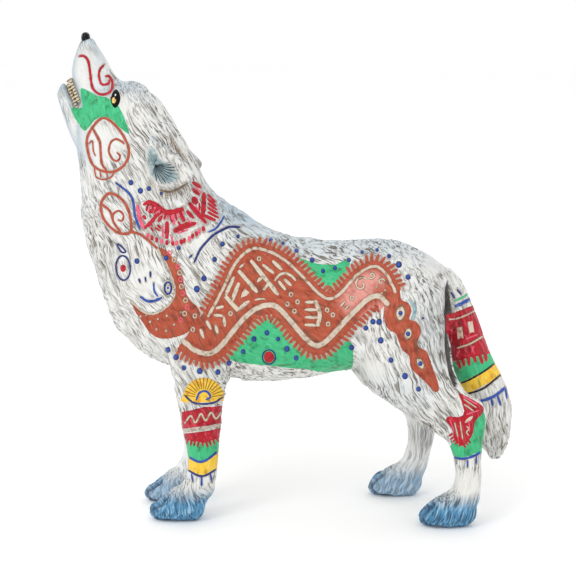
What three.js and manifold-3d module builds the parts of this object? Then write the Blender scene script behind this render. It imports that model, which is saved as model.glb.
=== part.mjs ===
// Howling wolf figurine: a painted resin casting glued up from separate castings.
// Millimetres. +Z is up, the wolf faces -X, its left flank is -Y. The origin is the
// centre of the footprint box, on the surface the paws stand on.
import * as THREE from 'three';
import { mergeVertices } from 'three/addons/utils/BufferGeometryUtils.js';
import Module from 'manifold-3d';

// ---- driving dimensions ---------------------------------------------------------
const GLUE_GAP = 0.3;         // clearance between two neighbouring pieces
const CUT_SIZE = 300;         // edge of the boxes that stand in for half spaces
const WIRE_RADIUS = 0.8;      // steel armature wire in each leg
const NECK_DOWEL = { radius: 3, length: 22 };
const TAIL_DOWEL = { radius: 1.2, length: 13 };
const EYE_RADIUS = 1.9;
const FRONT_CUT_HEIGHT = 37;  // the front legs are cast below this level
const NECK_CUT = { point: [-42.5, 0, 96.7], normal: [-0.1, 0, 0.995] };
const HIND_CUT = { point: [41.1, 0, 36.9], normal: [-0.281, 0, 0.96] };
const FLANKS = { left: -1, right: 1 };

// How far a leg is set forward at the ground compared with the left legs, and the
// height above the ground at which that stride has faded out.
const STRIDE = {
  front: { left: 0, right: -3, fade: 45 },
  hind: { left: 0, right: -13.5, fade: 60 },
};

// ---- ribs -----------------------------------------------------------------------
// A rib is one cross section: [ax, az, bx, bz, halfWidth, y]. A and B are the two
// ends of the section in side view; the section is an ellipse around that line.
const TRUNK = [
  [50, 66, 49, 58, 4, 0],
  [49.5, 69.5, 46.5, 52, 9, 0],
  [46, 74, 42, 46, 12.5, 0],
  [38, 79.2, 35, 42.5, 14.8, 0],
  [29, 82.6, 27, 42.3, 15.8, 0],
  [18.5, 82.1, 18, 43, 16, 0],
  [8, 82.2, 9, 41.5, 16.2, 0],
  [-1, 83.5, 0, 40.2, 16.6, 0],
  [-7, 86, -9, 39.6, 17, 0],
  [-12, 88.9, -19, 40.6, 17.2, 0],
  [-16, 91.4, -30, 42.4, 17, 0],
  [-19, 93.9, -41, 47.4, 16.2, 0],
  [-21.8, 96.9, -49.5, 54.4, 15.2, 0],
  [-24.3, 100.2, -54.5, 64.5, 14.2, 0],
  [-26.6, 103.8, -57.8, 75.5, 13.4, 0],
  [-28.6, 107, -60, 85.5, 12.8, 0],
  [-31.3, 111, -60.4, 95.5, 12.4, 0],
  [-34.3, 117, -60.8, 104.5, 12, 0],
  [-37.7, 122.4, -62, 111, 11, 0],
];

const SKULL = [
  [-29.5, 109, -60.3, 98, 12.2, 0],
  [-33.5, 115.5, -60.8, 104.8, 12, 0],
  [-37.2, 121.8, -61.8, 111.5, 11.6, 0],
  [-41.4, 126.4, -61.8, 117, 9.8, 0],
  [-44.8, 127.9, -60.8, 120.8, 7.8, 0],
  [-48, 127.8, -60.9, 123.4, 6.3, 0],
  [-50, 129.8, -61.9, 127, 5.3, 0],
  [-51.9, 133.3, -62.3, 131, 4.5, 0],
  [-54.2, 137, -61.3, 135.3, 3.7, 0],
  [-56, 140, -60, 138.6, 2.8, 0],
  [-57, 141.5, -59.4, 140.2, 1.6, 0],
];

const JAW = [
  [-53, 112.5, -60.5, 107, 6.2, 0],
  [-57.5, 117.6, -63, 112.5, 5.6, 0],
  [-60.9, 121.6, -64.7, 117.6, 4.7, 0],
  [-63, 124.7, -65.9, 121.3, 3.8, 0],
  [-64.2, 127, -66.6, 123.8, 2.9, 0],
  [-64.9, 127.6, -66.2, 125.8, 1.5, 0],
];

const EAR = [
  [-40.5, 113, -43, 104, 1.8, 7],
  [-38.8, 112.8, -41.2, 103, 2.2, 10.2],
  [-35.2, 110.8, -38.6, 99.6, 2, 12.2],
  [-31.6, 107.8, -34.2, 98.2, 1.7, 13.4],
  [-28.9, 104.9, -30, 99.4, 1.3, 14],
  [-27.3, 102.8, -27.8, 101, 0.8, 14.2],
];

const TAIL = [
  [43.5, 67.5, 46.5, 74.2, 3.2, 0],
  [46.5, 63.5, 51, 69, 4.2, 0],
  [47.3, 57, 54.2, 62.5, 5.2, 0],
  [47.8, 49.5, 57.3, 54.5, 6.2, 0],
  [48.8, 42.5, 60.2, 47, 6.8, 0],
  [50.5, 36, 63.6, 40.5, 7.2, 0],
  [53, 29.5, 65.9, 33, 7, 0],
  [55.2, 24.2, 66.2, 26.5, 6, 0],
  [57.6, 19.4, 65.3, 20.5, 4.4, 0],
  [59.8, 16.2, 63.8, 16.6, 2.4, 0],
  [61.3, 15.1, 62.4, 15.2, 0.8, 0],
];

const FRONT_LEG = [
  [-33, 70, -17, 73, 5, 6.5],
  [-36.5, 60, -14, 62, 7.4, 8.4],
  [-35.6, 51, -15.2, 51.5, 7.2, 9],
  [-34.2, 45, -16.8, 44.5, 6.8, 9.3],
  [-32.8, 38.5, -18.4, 38, 6.2, 9.3],
  [-31.8, 32.1, -19.5, 32.5, 5.6, 9.3],
  [-30.7, 26.5, -20.1, 26.3, 5.1, 9.3],
  [-29.9, 21.2, -20.4, 20.8, 4.9, 9.3],
  [-29.6, 16, -20.8, 15, 5, 9.3],
  [-30.6, 11.8, -21.7, 9.8, 5.2, 9.3],
  [-32.5, 8.5, -24, 5, 5.2, 9.3],
];

const FRONT_PAW = [
  [-24, 6.8, -25.2, 1.6, 3.2, 9.3],
  [-27.5, 9.6, -27.5, -0.6, 5, 9.3],
  [-32, 10.2, -32, -0.6, 5.8, 9.3],
  [-36.2, 7.4, -36, -0.6, 6, 9.3],
  [-39.2, 4.6, -39, -0.2, 5, 9.3],
  [-40.5, 3.2, -40.3, 1.2, 3, 9.3],
];

const HIND_LEG = [
  [28, 75, 41, 77, 4, 5],
  [22, 66, 44.6, 70.5, 8, 8.4],
  [20.3, 56, 45.8, 61, 9, 10.6],
  [21, 46.5, 46.8, 52, 8.6, 12.2],
  [25.5, 38.5, 48.2, 44.5, 7.2, 13.4],
  [31.2, 34, 51, 39.8, 6.2, 14],
  [37.2, 30.8, 55, 37.2, 5.3, 14.6],
  [42, 28, 57, 34, 4.8, 15],
  [45.6, 25.2, 56.6, 28, 4.5, 15.2],
  [47.6, 20.8, 56.1, 22, 4.3, 15.4],
  [48.5, 16, 56.2, 15.8, 4.4, 15.5],
  [47.8, 11.8, 55.9, 10, 4.8, 15.5],
  [45.8, 8.8, 54.6, 5.2, 5, 15.5],
];

const HIND_PAW = [
  [54.6, 6.2, 54.2, 2.2, 3, 15.5],
  [51, 9.8, 51.5, -0.6, 4.8, 15.5],
  [47, 9.9, 47, -0.6, 5.5, 15.5],
  [43.2, 8.6, 43, -0.6, 5.8, 15.5],
  [40.2, 6.2, 40, -0.3, 5, 15.5],
  [38.6, 4, 38.8, 1.6, 3.2, 15.5],
];

// Four toes across a paw: [distance behind the paw tip, sideways offset, half width].
const TOES = [
  [3.9, -4.5, 1.6],
  [2.2, -1.6, 1.7],
  [2.2, 1.6, 1.7],
  [3.9, 4.5, 1.6],
];
const TOE_HALF_LENGTH = 3;
const TOE_HEIGHT = 2.5;

// The line the teeth stand on, half of the horseshoe: [x, z, y] from corner to front.
const GUM_LINE = [
  [-60.5, 122.1, 5.1],
  [-61.4, 124.1, 4.7],
  [-62.2, 126, 4],
  [-62.9, 127.5, 2.9],
  [-63.3, 128.2, 1.3],
];
const BITE_DIRECTION = new THREE.Vector3(-0.906, 0, -0.423);
const INTO_MOUTH = new THREE.Vector3(0.423, 0, -0.906);
const TOOTH = { radius: 0.55, upperLength: 1.5, lowerLength: 0.8, spacing: 1.25 };
const GUM = { thickness: 0.9, setBack: 0.75, lowerInset: 1.3 };

// ---- helpers --------------------------------------------------------------------
const wasm = await Module();
wasm.setup();

function solid(geometry) {
  const bare = geometry.clone();
  bare.deleteAttribute('normal');
  bare.deleteAttribute('uv');
  const welded = mergeVertices(bare, 1e-4);
  return new wasm.Manifold(new wasm.Mesh({
    numProp: 3,
    vertProperties: new Float32Array(welded.attributes.position.array),
    triVerts: new Uint32Array(welded.index.array),
  }));
}

function meshFrom(manifold, name, material) {
  const result = manifold.getMesh();
  const geometry = new THREE.BufferGeometry();
  const position = new THREE.BufferAttribute(new Float32Array(result.vertProperties), 3);
  geometry.setAttribute('position', position);
  geometry.setIndex(new THREE.BufferAttribute(new Uint32Array(result.triVerts), 1));
  geometry.computeVertexNormals();
  const mesh = new THREE.Mesh(geometry, material.clone());
  mesh.name = name;
  return mesh;
}

function unite(solids) {
  return solids.reduce((sum, next) => sum.add(next));
}

// A closed skin over a row of ribs. grow makes it larger all round; round below 1
// turns the elliptical sections boxier.
function loft(ribs, { grow = 0, sides = 18, steps = 2, round = 1 } = {}) {
  const edgeA = new THREE.CatmullRomCurve3(ribs.map((r) => new THREE.Vector3(r[0], r[5], r[1])));
  const edgeB = new THREE.CatmullRomCurve3(ribs.map((r) => new THREE.Vector3(r[2], r[5], r[3])));
  const width = new THREE.CatmullRomCurve3(ribs.map((r, i) => new THREE.Vector3(r[4], i, 0)));
  const middle = (t) => edgeA.getPoint(t).add(edgeB.getPoint(t)).multiplyScalar(0.5);
  const geometry = new THREE.CylinderGeometry(1, 1, 1, sides, (ribs.length - 1) * steps);
  const position = geometry.attributes.position;
  for (let i = 0; i < position.count; i += 1) {
    const t = THREE.MathUtils.clamp(position.getY(i) + 0.5, 0, 1);
    const along = middle(Math.min(t + 0.02, 1)).sub(middle(Math.max(t - 0.02, 0))).normalize();
    const across = edgeA.getPoint(t).sub(edgeB.getPoint(t));
    const half = across.length() / 2;
    across.normalize();
    const side = new THREE.Vector3(0, 1, 0);
    if (side.clone().cross(along).dot(across) < 0) side.negate();
    const point = middle(t);
    const [high, wide] = [position.getZ(i), position.getX(i)].map(
      (value) => Math.sign(value) * Math.abs(value) ** round,
    );
    point.addScaledVector(across, high * (half + grow));
    point.addScaledVector(side, wide * (width.getPoint(t).x + grow));
    if (t < 1e-6) point.addScaledVector(along, -grow);
    if (t > 1 - 1e-6) point.addScaledVector(along, grow);
    position.setXYZ(i, point.x, point.y, point.z);
  }
  return solid(geometry);
}

// Everything on the side of a plane that its normal points to, moved by shift.
function halfSpace({ point, normal }, sign, shift) {
  const direction = new THREE.Vector3(...normal).normalize().multiplyScalar(sign);
  const box = new THREE.BoxGeometry(CUT_SIZE, CUT_SIZE, CUT_SIZE);
  box.translate(0, 0, CUT_SIZE / 2 + shift);
  const turn = new THREE.Quaternion().setFromUnitVectors(new THREE.Vector3(0, 0, 1), direction);
  box.applyQuaternion(turn);
  box.translate(...point);
  return solid(box);
}

function ellipsoid(centre, radii, { grow = 0, columns = 12, rows = 8 } = {}) {
  const geometry = new THREE.SphereGeometry(1, columns, rows);
  geometry.scale(...radii.map((radius) => radius + grow));
  geometry.translate(...centre);
  return solid(geometry);
}

function rod(centre, direction, radius, length) {
  const geometry = new THREE.CylinderGeometry(radius, radius, length, 16);
  const turn = new THREE.Quaternion().setFromUnitVectors(new THREE.Vector3(0, 1, 0), direction);
  geometry.applyQuaternion(turn);
  geometry.translate(...centre);
  return solid(geometry);
}

// A round wire through a row of points; extra lengthens it at both ends.
function wire(points, radius, extra) {
  const path = points.map((p) => p.clone());
  const last = path.length - 1;
  const startWay = path[0].clone().sub(path[1]).normalize();
  const endWay = path[last].clone().sub(path[last - 1]).normalize();
  path[0].addScaledVector(startWay, extra);
  path[last].addScaledVector(endWay, extra);
  const circle = new THREE.Shape().absarc(0, 0, radius, 0, Math.PI * 2);
  return solid(new THREE.ExtrudeGeometry(circle, {
    extrudePath: new THREE.CatmullRomCurve3(path),
    steps: last * 2,
    curveSegments: 4,
    bevelEnabled: false,
  }));
}

// ---- castings -------------------------------------------------------------------
function placeLeg(ribs, sign, reach, fade) {
  const forward = (z) => reach * (1 - Math.min(Math.max(z, 0) / fade, 1) ** 1.6);
  return ribs.map(([ax, az, bx, bz, w, y]) => [
    ax + forward(az), az, bx + forward(bz), bz, w, sign * y,
  ]);
}

function paw(ribs) {
  const tip = ribs[ribs.length - 1];
  const toes = TOES.map(([back, offset, halfWidth]) => ellipsoid(
    [Math.min(tip[0], tip[2]) + back, tip[5] + offset * 0.82, TOE_HEIGHT],
    [TOE_HALF_LENGTH, halfWidth, TOE_HEIGHT],
    { columns: 10, rows: 7 },
  ));
  return unite([loft(ribs, { sides: 14 }), ...toes]);
}

function legParts(kind, flank) {
  const [legRibs, pawRibs] = kind === 'front' ? [FRONT_LEG, FRONT_PAW] : [HIND_LEG, HIND_PAW];
  const sign = FLANKS[flank];
  const reach = STRIDE[kind][flank];
  const leg = placeLeg(legRibs, sign, reach, STRIDE[kind].fade);
  const foot = placeLeg(pawRibs, sign, reach, STRIDE[kind].fade);
  const centres = leg.map((r) => new THREE.Vector3((r[0] + r[2]) / 2, r[5], (r[1] + r[3]) / 2));
  const inner = kind === 'front' ? centres.slice(2) : centres.slice(3);
  return { limb: loft(leg, { sides: 16 }), foot: paw(foot), inner };
}

function legCut(kind, flank, sign) {
  if (kind === 'front') {
    return halfSpace({ point: [0, 0, FRONT_CUT_HEIGHT], normal: [0, 0, 1] }, sign, GLUE_GAP / 2);
  }
  const reach = STRIDE.hind[flank] * (1 - (HIND_CUT.point[2] / STRIDE.hind.fade) ** 1.6);
  const point = [HIND_CUT.point[0] + reach, 0, HIND_CUT.point[2]];
  return halfSpace({ point, normal: HIND_CUT.normal }, sign, GLUE_GAP / 2);
}

function mirrorRibs(ribs, sign) {
  return ribs.map(([ax, az, bx, bz, w, y]) => [ax, az, bx, bz, w, sign * y]);
}

function ear(sign, grow) {
  return loft(mirrorRibs(EAR, sign), { grow, sides: 12 });
}

// The hollow of the ear, a tilted egg pressed into its outer face.
function earCup(sign) {
  const geometry = new THREE.SphereGeometry(1, 14, 8);
  geometry.scale(6.2, 2, 3.8);
  geometry.rotateY(0.62);
  geometry.rotateZ(sign * 0.3);
  geometry.translate(-35.2, sign * 14.4, 104.4);
  return solid(geometry);
}

function eye(sign, grow) {
  const centre = [-49.4, sign * 7.3, 124];
  return ellipsoid(centre, [EYE_RADIUS, EYE_RADIUS, EYE_RADIUS], { grow });
}

function lowerJaw(grow) {
  return loft(JAW, { grow, round: 0.8 });
}

function nose(grow) {
  return ellipsoid([-58, 0, 140.3], [1.5, 2, 1.7], { grow });
}

// The upper gum is set back (towards < 0) from the bite, the lower one past it.
function gumPoints(towards) {
  const inset = towards > 0 ? GUM.lowerInset : 0;
  const half = GUM_LINE.map(([x, z, y]) => new THREE.Vector3(x, inset - y, z));
  half[half.length - 1].y = -GUM_LINE[half.length - 1][2] * 0.6;
  const other = [...half].reverse().map((p) => new THREE.Vector3(p.x, -p.y, p.z));
  return [...half, ...other].map(
    (p) => p.addScaledVector(BITE_DIRECTION, towards).addScaledVector(INTO_MOUTH, inset),
  );
}

// The strip the teeth grow from; towards is its offset along the bite.
function gumStrip(towards, grow) {
  return wire(gumPoints(towards), GUM.thickness / 2 + grow, grow);
}

function toothRow(towards) {
  const line = new THREE.CatmullRomCurve3(gumPoints(towards));
  const count = Math.round(line.getLength() / TOOTH.spacing);
  const bite = BITE_DIRECTION.clone().multiplyScalar(-Math.sign(towards));
  const turn = new THREE.Quaternion().setFromUnitVectors(new THREE.Vector3(0, 1, 0), bite);
  const length = towards < 0 ? TOOTH.upperLength : TOOTH.lowerLength;
  const teeth = [];
  for (let i = 0; i < count; i += 1) {
    const geometry = new THREE.ConeGeometry(TOOTH.radius, length, 6);
    geometry.translate(0, length / 2, 0);
    geometry.applyQuaternion(turn);
    geometry.translate(...line.getPointAt((i + 0.5) / count));
    teeth.push(solid(geometry));
  }
  return unite([gumStrip(towards, 0), ...teeth]);
}

// ---- assembly -------------------------------------------------------------------
function resin(color) {
  return new THREE.MeshStandardMaterial({ color, roughness: 0.5, metalness: 0 });
}

function build() {
  const white = resin(0xe6e4dc);
  const steel = new THREE.MeshStandardMaterial({ color: 0x9a9c9e, roughness: 0.35, metalness: 1 });
  const wood = resin(0xb98f5e);
  const black = resin(0x14120f);
  const ivory = resin(0xd8c9a4);
  const group = new THREE.Group();
  const add = (piece, name, material) => group.add(meshFrom(piece, name, material));

  const neckAxis = new THREE.Vector3(-0.2, 0, 0.98).normalize();
  const tailAxis = new THREE.Vector3(0.62, 0, -0.785).normalize();
  const tailRoot = [46.8, 0, 67.5];
  const dowel = (extra) => rod(
    NECK_CUT.point, neckAxis, NECK_DOWEL.radius + extra, NECK_DOWEL.length + 2 * extra,
  );
  const tailDowel = (extra) => rod(
    tailRoot, tailAxis, TAIL_DOWEL.radius + extra, TAIL_DOWEL.length + 2 * extra,
  );
  const ground = halfSpace({ point: [0, 0, 0], normal: [0, 0, 1] }, 1, 0);

  const trunk = loft(TRUNK, { sides: 22 });
  let torso = trunk.intersect(halfSpace(NECK_CUT, -1, GLUE_GAP / 2));
  const bores = [];
  for (const kind of ['front', 'hind']) {
    for (const flank of Object.keys(FLANKS)) {
      const { limb, foot, inner } = legParts(kind, flank);
      const bore = wire(inner, WIRE_RADIUS + GLUE_GAP, GLUE_GAP);
      const lower = limb.intersect(legCut(kind, flank, -1)).add(foot).intersect(ground);
      add(lower.subtract(bore), `${kind}_leg_${flank}`, white);
      add(wire(inner, WIRE_RADIUS, 0), `${kind}_leg_wire_${flank}`, steel);
      torso = torso.add(limb.intersect(legCut(kind, flank, 1)));
      bores.push(bore);
    }
  }
  torso = torso.subtract(unite(bores));
  torso = torso.subtract(loft(TAIL, { grow: GLUE_GAP })).subtract(tailDowel(GLUE_GAP));
  add(torso.subtract(dowel(GLUE_GAP)), 'torso', white);
  add(dowel(0), 'neck_dowel', wood);
  add(loft(TAIL).subtract(tailDowel(GLUE_GAP)), 'tail', white);
  add(tailDowel(0), 'tail_dowel', wood);

  let head = trunk.add(loft(SKULL, { round: 0.85 })).intersect(halfSpace(NECK_CUT, 1, GLUE_GAP / 2));
  head = head.subtract(lowerJaw(GLUE_GAP)).subtract(nose(GLUE_GAP));
  head = head.subtract(gumStrip(-GUM.setBack, GLUE_GAP)).subtract(dowel(GLUE_GAP));
  head = head.subtract(gumStrip(GUM.setBack, GLUE_GAP));
  for (const [flank, sign] of Object.entries(FLANKS)) {
    head = head.subtract(ear(sign, GLUE_GAP)).subtract(eye(sign, GLUE_GAP));
    add(ear(sign, 0).subtract(earCup(sign)), `ear_${flank}`, white);
    add(eye(sign, 0), `eye_${flank}`, black);
  }
  add(head, 'head', white);
  add(nose(0), 'nose', black);

  const jaw = lowerJaw(0).subtract(gumStrip(GUM.setBack, GLUE_GAP));
  add(jaw, 'lower_jaw', white);
  add(toothRow(-GUM.setBack).subtract(lowerJaw(GLUE_GAP)), 'upper_teeth', ivory);
  add(toothRow(GUM.setBack), 'lower_teeth', ivory);
  return group;
}

export default build();
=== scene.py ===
"""Howling wolf figurine: carved fur, glaze-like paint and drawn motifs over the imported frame.

Lengths are millimetres until a mesh is made. The motifs are drawn on a flat sheet that faces the
viewer's left (the figurine's left flank); (u, v) is a place on it, right and up from the middle of
the figurine. Each mark is carried onto the carved surface along the line of sight, and the other
flank gets the mirror image of it.
"""

import math

import bmesh
import bpy
import numpy as np
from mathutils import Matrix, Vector
from mathutils.bvhtree import BVHTree
from mathutils.kdtree import KDTree


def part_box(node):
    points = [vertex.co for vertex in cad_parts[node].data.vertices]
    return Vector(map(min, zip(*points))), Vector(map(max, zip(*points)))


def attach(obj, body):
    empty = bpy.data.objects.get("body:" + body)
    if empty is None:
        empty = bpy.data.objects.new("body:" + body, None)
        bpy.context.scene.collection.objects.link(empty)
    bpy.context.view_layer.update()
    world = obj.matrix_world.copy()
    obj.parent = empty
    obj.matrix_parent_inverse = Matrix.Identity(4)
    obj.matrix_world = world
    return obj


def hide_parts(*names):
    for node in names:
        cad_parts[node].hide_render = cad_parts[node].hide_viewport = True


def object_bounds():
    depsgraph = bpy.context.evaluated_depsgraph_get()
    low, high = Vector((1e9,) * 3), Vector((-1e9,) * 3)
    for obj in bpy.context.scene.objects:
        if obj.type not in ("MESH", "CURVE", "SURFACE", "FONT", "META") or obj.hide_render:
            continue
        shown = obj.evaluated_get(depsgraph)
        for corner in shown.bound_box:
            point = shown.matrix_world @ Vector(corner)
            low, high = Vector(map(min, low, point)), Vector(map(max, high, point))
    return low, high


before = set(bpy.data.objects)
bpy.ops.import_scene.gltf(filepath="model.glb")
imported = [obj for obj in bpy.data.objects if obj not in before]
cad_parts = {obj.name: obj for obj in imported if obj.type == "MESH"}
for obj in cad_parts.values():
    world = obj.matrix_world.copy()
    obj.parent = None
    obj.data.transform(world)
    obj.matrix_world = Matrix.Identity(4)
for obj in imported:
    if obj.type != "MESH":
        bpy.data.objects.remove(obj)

cad_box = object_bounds()
MM = 0.001

# The eye point, which also carries the drawing sheet.
TARGET_DROP = 3.5
EYE_DISTANCE = 500.0
ELEVATION = math.radians(10.0)
SHEET_WIDTH = 169.4
SENSOR_WIDTH = 36.0

# The fused skin. It ends up SKIN_PROUD outside the CAD solids, before the carving.
VOXEL = 0.34
GAP_FILL = 0.26
SKIN_PROUD = 0.05
SMOOTH_ROUNDS = 60
MELT, MELT_FINE = 0.55, 0.1

# Fur relief. Strand sizes are across the hair, along it, and in from the flank.
LOCK_SIZE = (1.5, 7.0, 2.4)
HAIR_SIZE = (0.52, 3.6, 1.0)
FINE_HAIR = (0.34, 4.2, 0.9)
LOCK_HEIGHT = 0.2
GROOVE_DEPTH = 0.26
CREASE_DEPTH = 0.5
PAINT_HIDES = 0.75
PLAIN_HIDES = 0.85
MUZZLE_SCRATCHES = 0.42
CAVITY_UNIT = 0.05

# The toes: how far apart the clefts are, their width and depth, and how far back the outer toes
# stand.
TOE_PITCH = 2.1
TOE_CLEFT_WIDTH = 0.42
TOE_DEPTH = 0.9
TOE_BACK = 0.9

# The far ear leans back by EAR_SWING for each millimetre below its root.
EAR_SWING = 0.12
EAR_ROOT_Z = 111

# Where the casting stands fuller (or thinner) than the CAD form: x, z, reach, rise.
SWELLS = (
    (-34, 117, 7, 0.8), (-29, 106, 6, 0.7), (-40, 49, 10, 0.6), (24, 82, 9, -0.6),
    (21, 39, 5, -1.1), (-55, 66, 6, -0.5), (-12, 84, 10, 0.4), (55, 70, 8, 0.5),
    (65, 34, 10, 0.4), (-26, 30, 9, 0.35),
)

# Patches of plain white with little fur: x, z, reach.
PLAIN = (
    (-52, 110.5, 7.5), (-50, 91, 5.5), (-41, 72, 6.5), (-58, 130, 8), (-47, 122, 3.5),
    (24, 46, 5.5), (41, 75, 4), (-26, 84, 5), (52, 13, 6), (-61, 112, 5), (-31, 17, 5),
    (36, 26, 5),
)

# Spots of deep brown wash and painted shade on both flanks: x, distance from the middle plane, z,
# reach along x, reach along z, strength.
DEEP_WASH_AND_SHADE_SPOTS = (
    (47, 6, 55, 1.6, 12, 1), (44, 14, 34, 3, 4, 1), (-28, 6, 36, 5, 4, 1),
    (40, 15.5, 25, 2.5, 9, 1), (44, 12, 58, 5, 14, 0.7), (41.5, 11, 21, 2.6, 8, 0.9),
    (-57, 8, 70, 6, 18, 0.15), (-34, 12, 106, 5, 9, 0.4), (-26, 12, 42, 9, 4, 0.4),
    (61, 5, 22, 5, 8, 0.4),
)
DEEP_WASH_AND_SHADE_REACH = 8

# Paint relief. The underside of a thick mark lies PAINT_ROOT inside the skin.
PLATE_RISE = 0.16
LINE_SINK = 0.14
MARK_RIM_DEPTH = 0.09
STROKE_RISE = 0.13
THIN_RISE = {"shadow": 0.04, "cream": 0.09, "slate": 0.05, "umber": 0.04}
SHADOW_EXTRA = 0.34
PAINT_ROOT = 0.25
STROKE_STEP = 0.35
FILL_STEP = 0.8
TOOTH_PITCH = 1.05
NOSE_SLIM = 0.88

# Distances to the marks are cut off at FAR. Skin is painted while the cosine between its normal and
# the line of sight is above FACING. A stroke ends where it would drop by more than LARGEST_DROP.
FAR = 4.0
FACING = 0.06
TAIL_FACING = -0.3
LARGEST_DROP = 1.6

LEFT, RIGHT = -1, 1
SIDES = {LEFT: "left", RIGHT: "right"}
FLIP = np.array([1, -1, 1])

CORNERS = [np.array(c) / MM for c in cad_box]
TARGET = (CORNERS[0] + CORNERS[1]) / 2 - np.array([0.0, 0.0, TARGET_DROP])
ACROSS = np.array([1.0, 0.0, 0.0])
UP = np.array([0.0, math.sin(ELEVATION), math.cos(ELEVATION)])
BACK = np.array([0.0, -math.cos(ELEVATION), math.sin(ELEVATION)])
EYE = TARGET + EYE_DISTANCE * BACK

CAST_NODES = (
    "torso", "head", "lower_jaw", "ear_left", "ear_right", "tail",
    "front_leg_left", "front_leg_right", "hind_leg_left", "hind_leg_right",
)
FILLER_NODES = (
    "eye_left", "eye_right", "neck_dowel", "tail_dowel",
    "front_leg_wire_left", "front_leg_wire_right", "hind_leg_wire_left", "hind_leg_wire_right",
)

LEG_NODES = tuple(name for name in CAST_NODES if "leg" in name)

# How far from the middle plane the tail's strokes may lie, and how much further its fills may go.
TAIL_REACH = 9.0
TAIL_FILL_MARGIN = 3.0

# The painted grounds, and then the other fills.
GROUNDS = ("rust", "green", "red", "yellow", "cream")
FILLS = GROUNDS + ("blush", "ear", "soot", "shaded_fold")

# How far forward the right legs step, at the ground, and the height where the step has died out.
STRIDE = {"front_leg": (-3.0, 45.0), "hind_leg": (-13.5, 60.0)}
STRIDE_POWER = 1.6

# Each drawing surface takes in these nodes of its flank.
SURFACES = {
    "body": ("torso", "head", "lower_jaw"),
    "tail": ("tail", "torso"),
    "front_leg": ("front_leg", "torso"),
    "hind_leg": ("hind_leg", "torso"),
    "ear": ("ear",),
}

# Which way the fur lies: x, z, then the direction along x and z.
FUR_LIE = (
    (-57, 138, 0.45, -0.9), (-52, 130, 0.45, -0.9), (-44, 126, 0.6, -0.8),
    (-50, 118, 0.35, -0.94), (-34, 112, 0.55, -0.83), (-45, 100, 0.25, -0.97),
    (-58, 100, 0.05, -1), (-58, 115, 0.2, -0.98), (-36, 106, 0.6, -0.75),
    (-24, 98, 0.7, -0.7), (-38, 85, 0.25, -0.97), (-56, 75, 0.15, -0.99),
    (-50, 60, 0.45, -0.9), (-40, 48, 0.6, -0.8), (-28, 70, 0.35, -0.94), (-26, 55, 0.1, -1),
    (-12, 87, 0.9, -0.45), (5, 81, 0.95, -0.3), (25, 82, 0.95, -0.3), (42, 76, 0.8, -0.6),
    (0, 65, 0.85, -0.5), (15, 60, 0.85, -0.5), (0, 45, 0.95, -0.2), (15, 45, 0.9, -0.3),
    (20, 50, 0.5, -0.85), (35, 72, 0.7, -0.7), (35, 60, 0.35, -0.94), (30, 48, 0.3, -0.95),
    (36, 38, 0.75, -0.65), (45, 55, 0.15, -0.99), (50, 33, 0.5, -0.86), (52, 20, 0.05, -1),
    (44, 5, -0.25, -0.97), (-26, 35, 0, -1), (-25, 20, 0, -1), (-33, 5, -0.25, -0.97),
    (50, 66, 0.5, -0.86), (54, 52, 0.3, -0.95), (58, 38, 0.35, -0.93), (61, 24, 0.1, -1),
    (62, 17, -0.3, -0.95),
)
FUR_SPREAD = 7.0
FUR_WANDER = 0.42
FUR_WAVE = 0.32
GRID_STEP = 0.5
GRID_MARGIN = 6


# ---------------------------------------------------------------- curves and noise

def spline(points, step=STROKE_STEP, closed=False):
    """A smooth curve through the points, sampled about every step millimetres."""
    pts = np.array(points, float)
    if len(pts) == 2:
        count = max(2, int(np.linalg.norm(pts[1] - pts[0]) / step) + 1)
        return pts[0] + (pts[1] - pts[0]) * np.linspace(0, 1, count)[:, None]
    if closed:
        pts = np.vstack([pts[-1], pts, pts[0], pts[1]])
    else:
        pts = np.vstack([2 * pts[0] - pts[1], pts, 2 * pts[-1] - pts[-2]])
    out = []
    for a, b, c, d in zip(pts, pts[1:], pts[2:], pts[3:]):
        count = max(1, int(round(np.linalg.norm(c - b) / step)))
        t = (np.arange(count) / count)[:, None]
        out.append(0.5 * (2 * b + (c - a) * t + (2 * a - 5 * b + 4 * c - d) * t**2
                          + (3 * b - a - 3 * c + d) * t**3))
    if not closed:
        out.append(pts[-2][None])
    return np.vstack(out)


def side_of(path):
    """Unit normals to the left of a sheet path."""
    run = np.gradient(path, axis=0)
    run /= np.linalg.norm(run, axis=1)[:, None] + 1e-9
    return np.stack([-run[:, 1], run[:, 0]], 1)


def tilted(centre, x, y, tilt):
    """Sheet points at (x, y) from the centre, turned by tilt degrees."""
    c, s = math.cos(math.radians(tilt)), math.sin(math.radians(tilt))
    return np.stack([centre[0] + c * x - s * y, centre[1] + s * x + c * y], 1)


def ellipse(centre, radii, tilt=0.0, count=16):
    """Points round an ellipse on the sheet; tilt is in degrees."""
    turn = np.linspace(0, 2 * math.pi, count, endpoint=False)
    return tilted(centre, radii[0] * np.cos(turn), radii[1] * np.sin(turn), tilt)


def almond(centre, length, width, tilt=0.0, count=24):
    """An outline with a point at each end; at tilt 0 its length is upright."""
    turn = np.linspace(0, 2 * math.pi, count, endpoint=False)
    x = width / 2 * np.sin(turn) * np.abs(np.sin(turn)) ** 0.4
    return tilted(centre, x, length / 2 * np.cos(turn), tilt)


def spiral(centre, radius, start, turns, count=24):
    """A line that winds in to the centre; start is in degrees and turns may be negative."""
    t = np.linspace(0, 1, count)
    turn = math.radians(start) + 2 * math.pi * turns * t
    r = radius * (1 - 0.85 * t)
    return np.stack([centre[0] + r * np.cos(turn), centre[1] + r * np.sin(turn)], 1)


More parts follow.
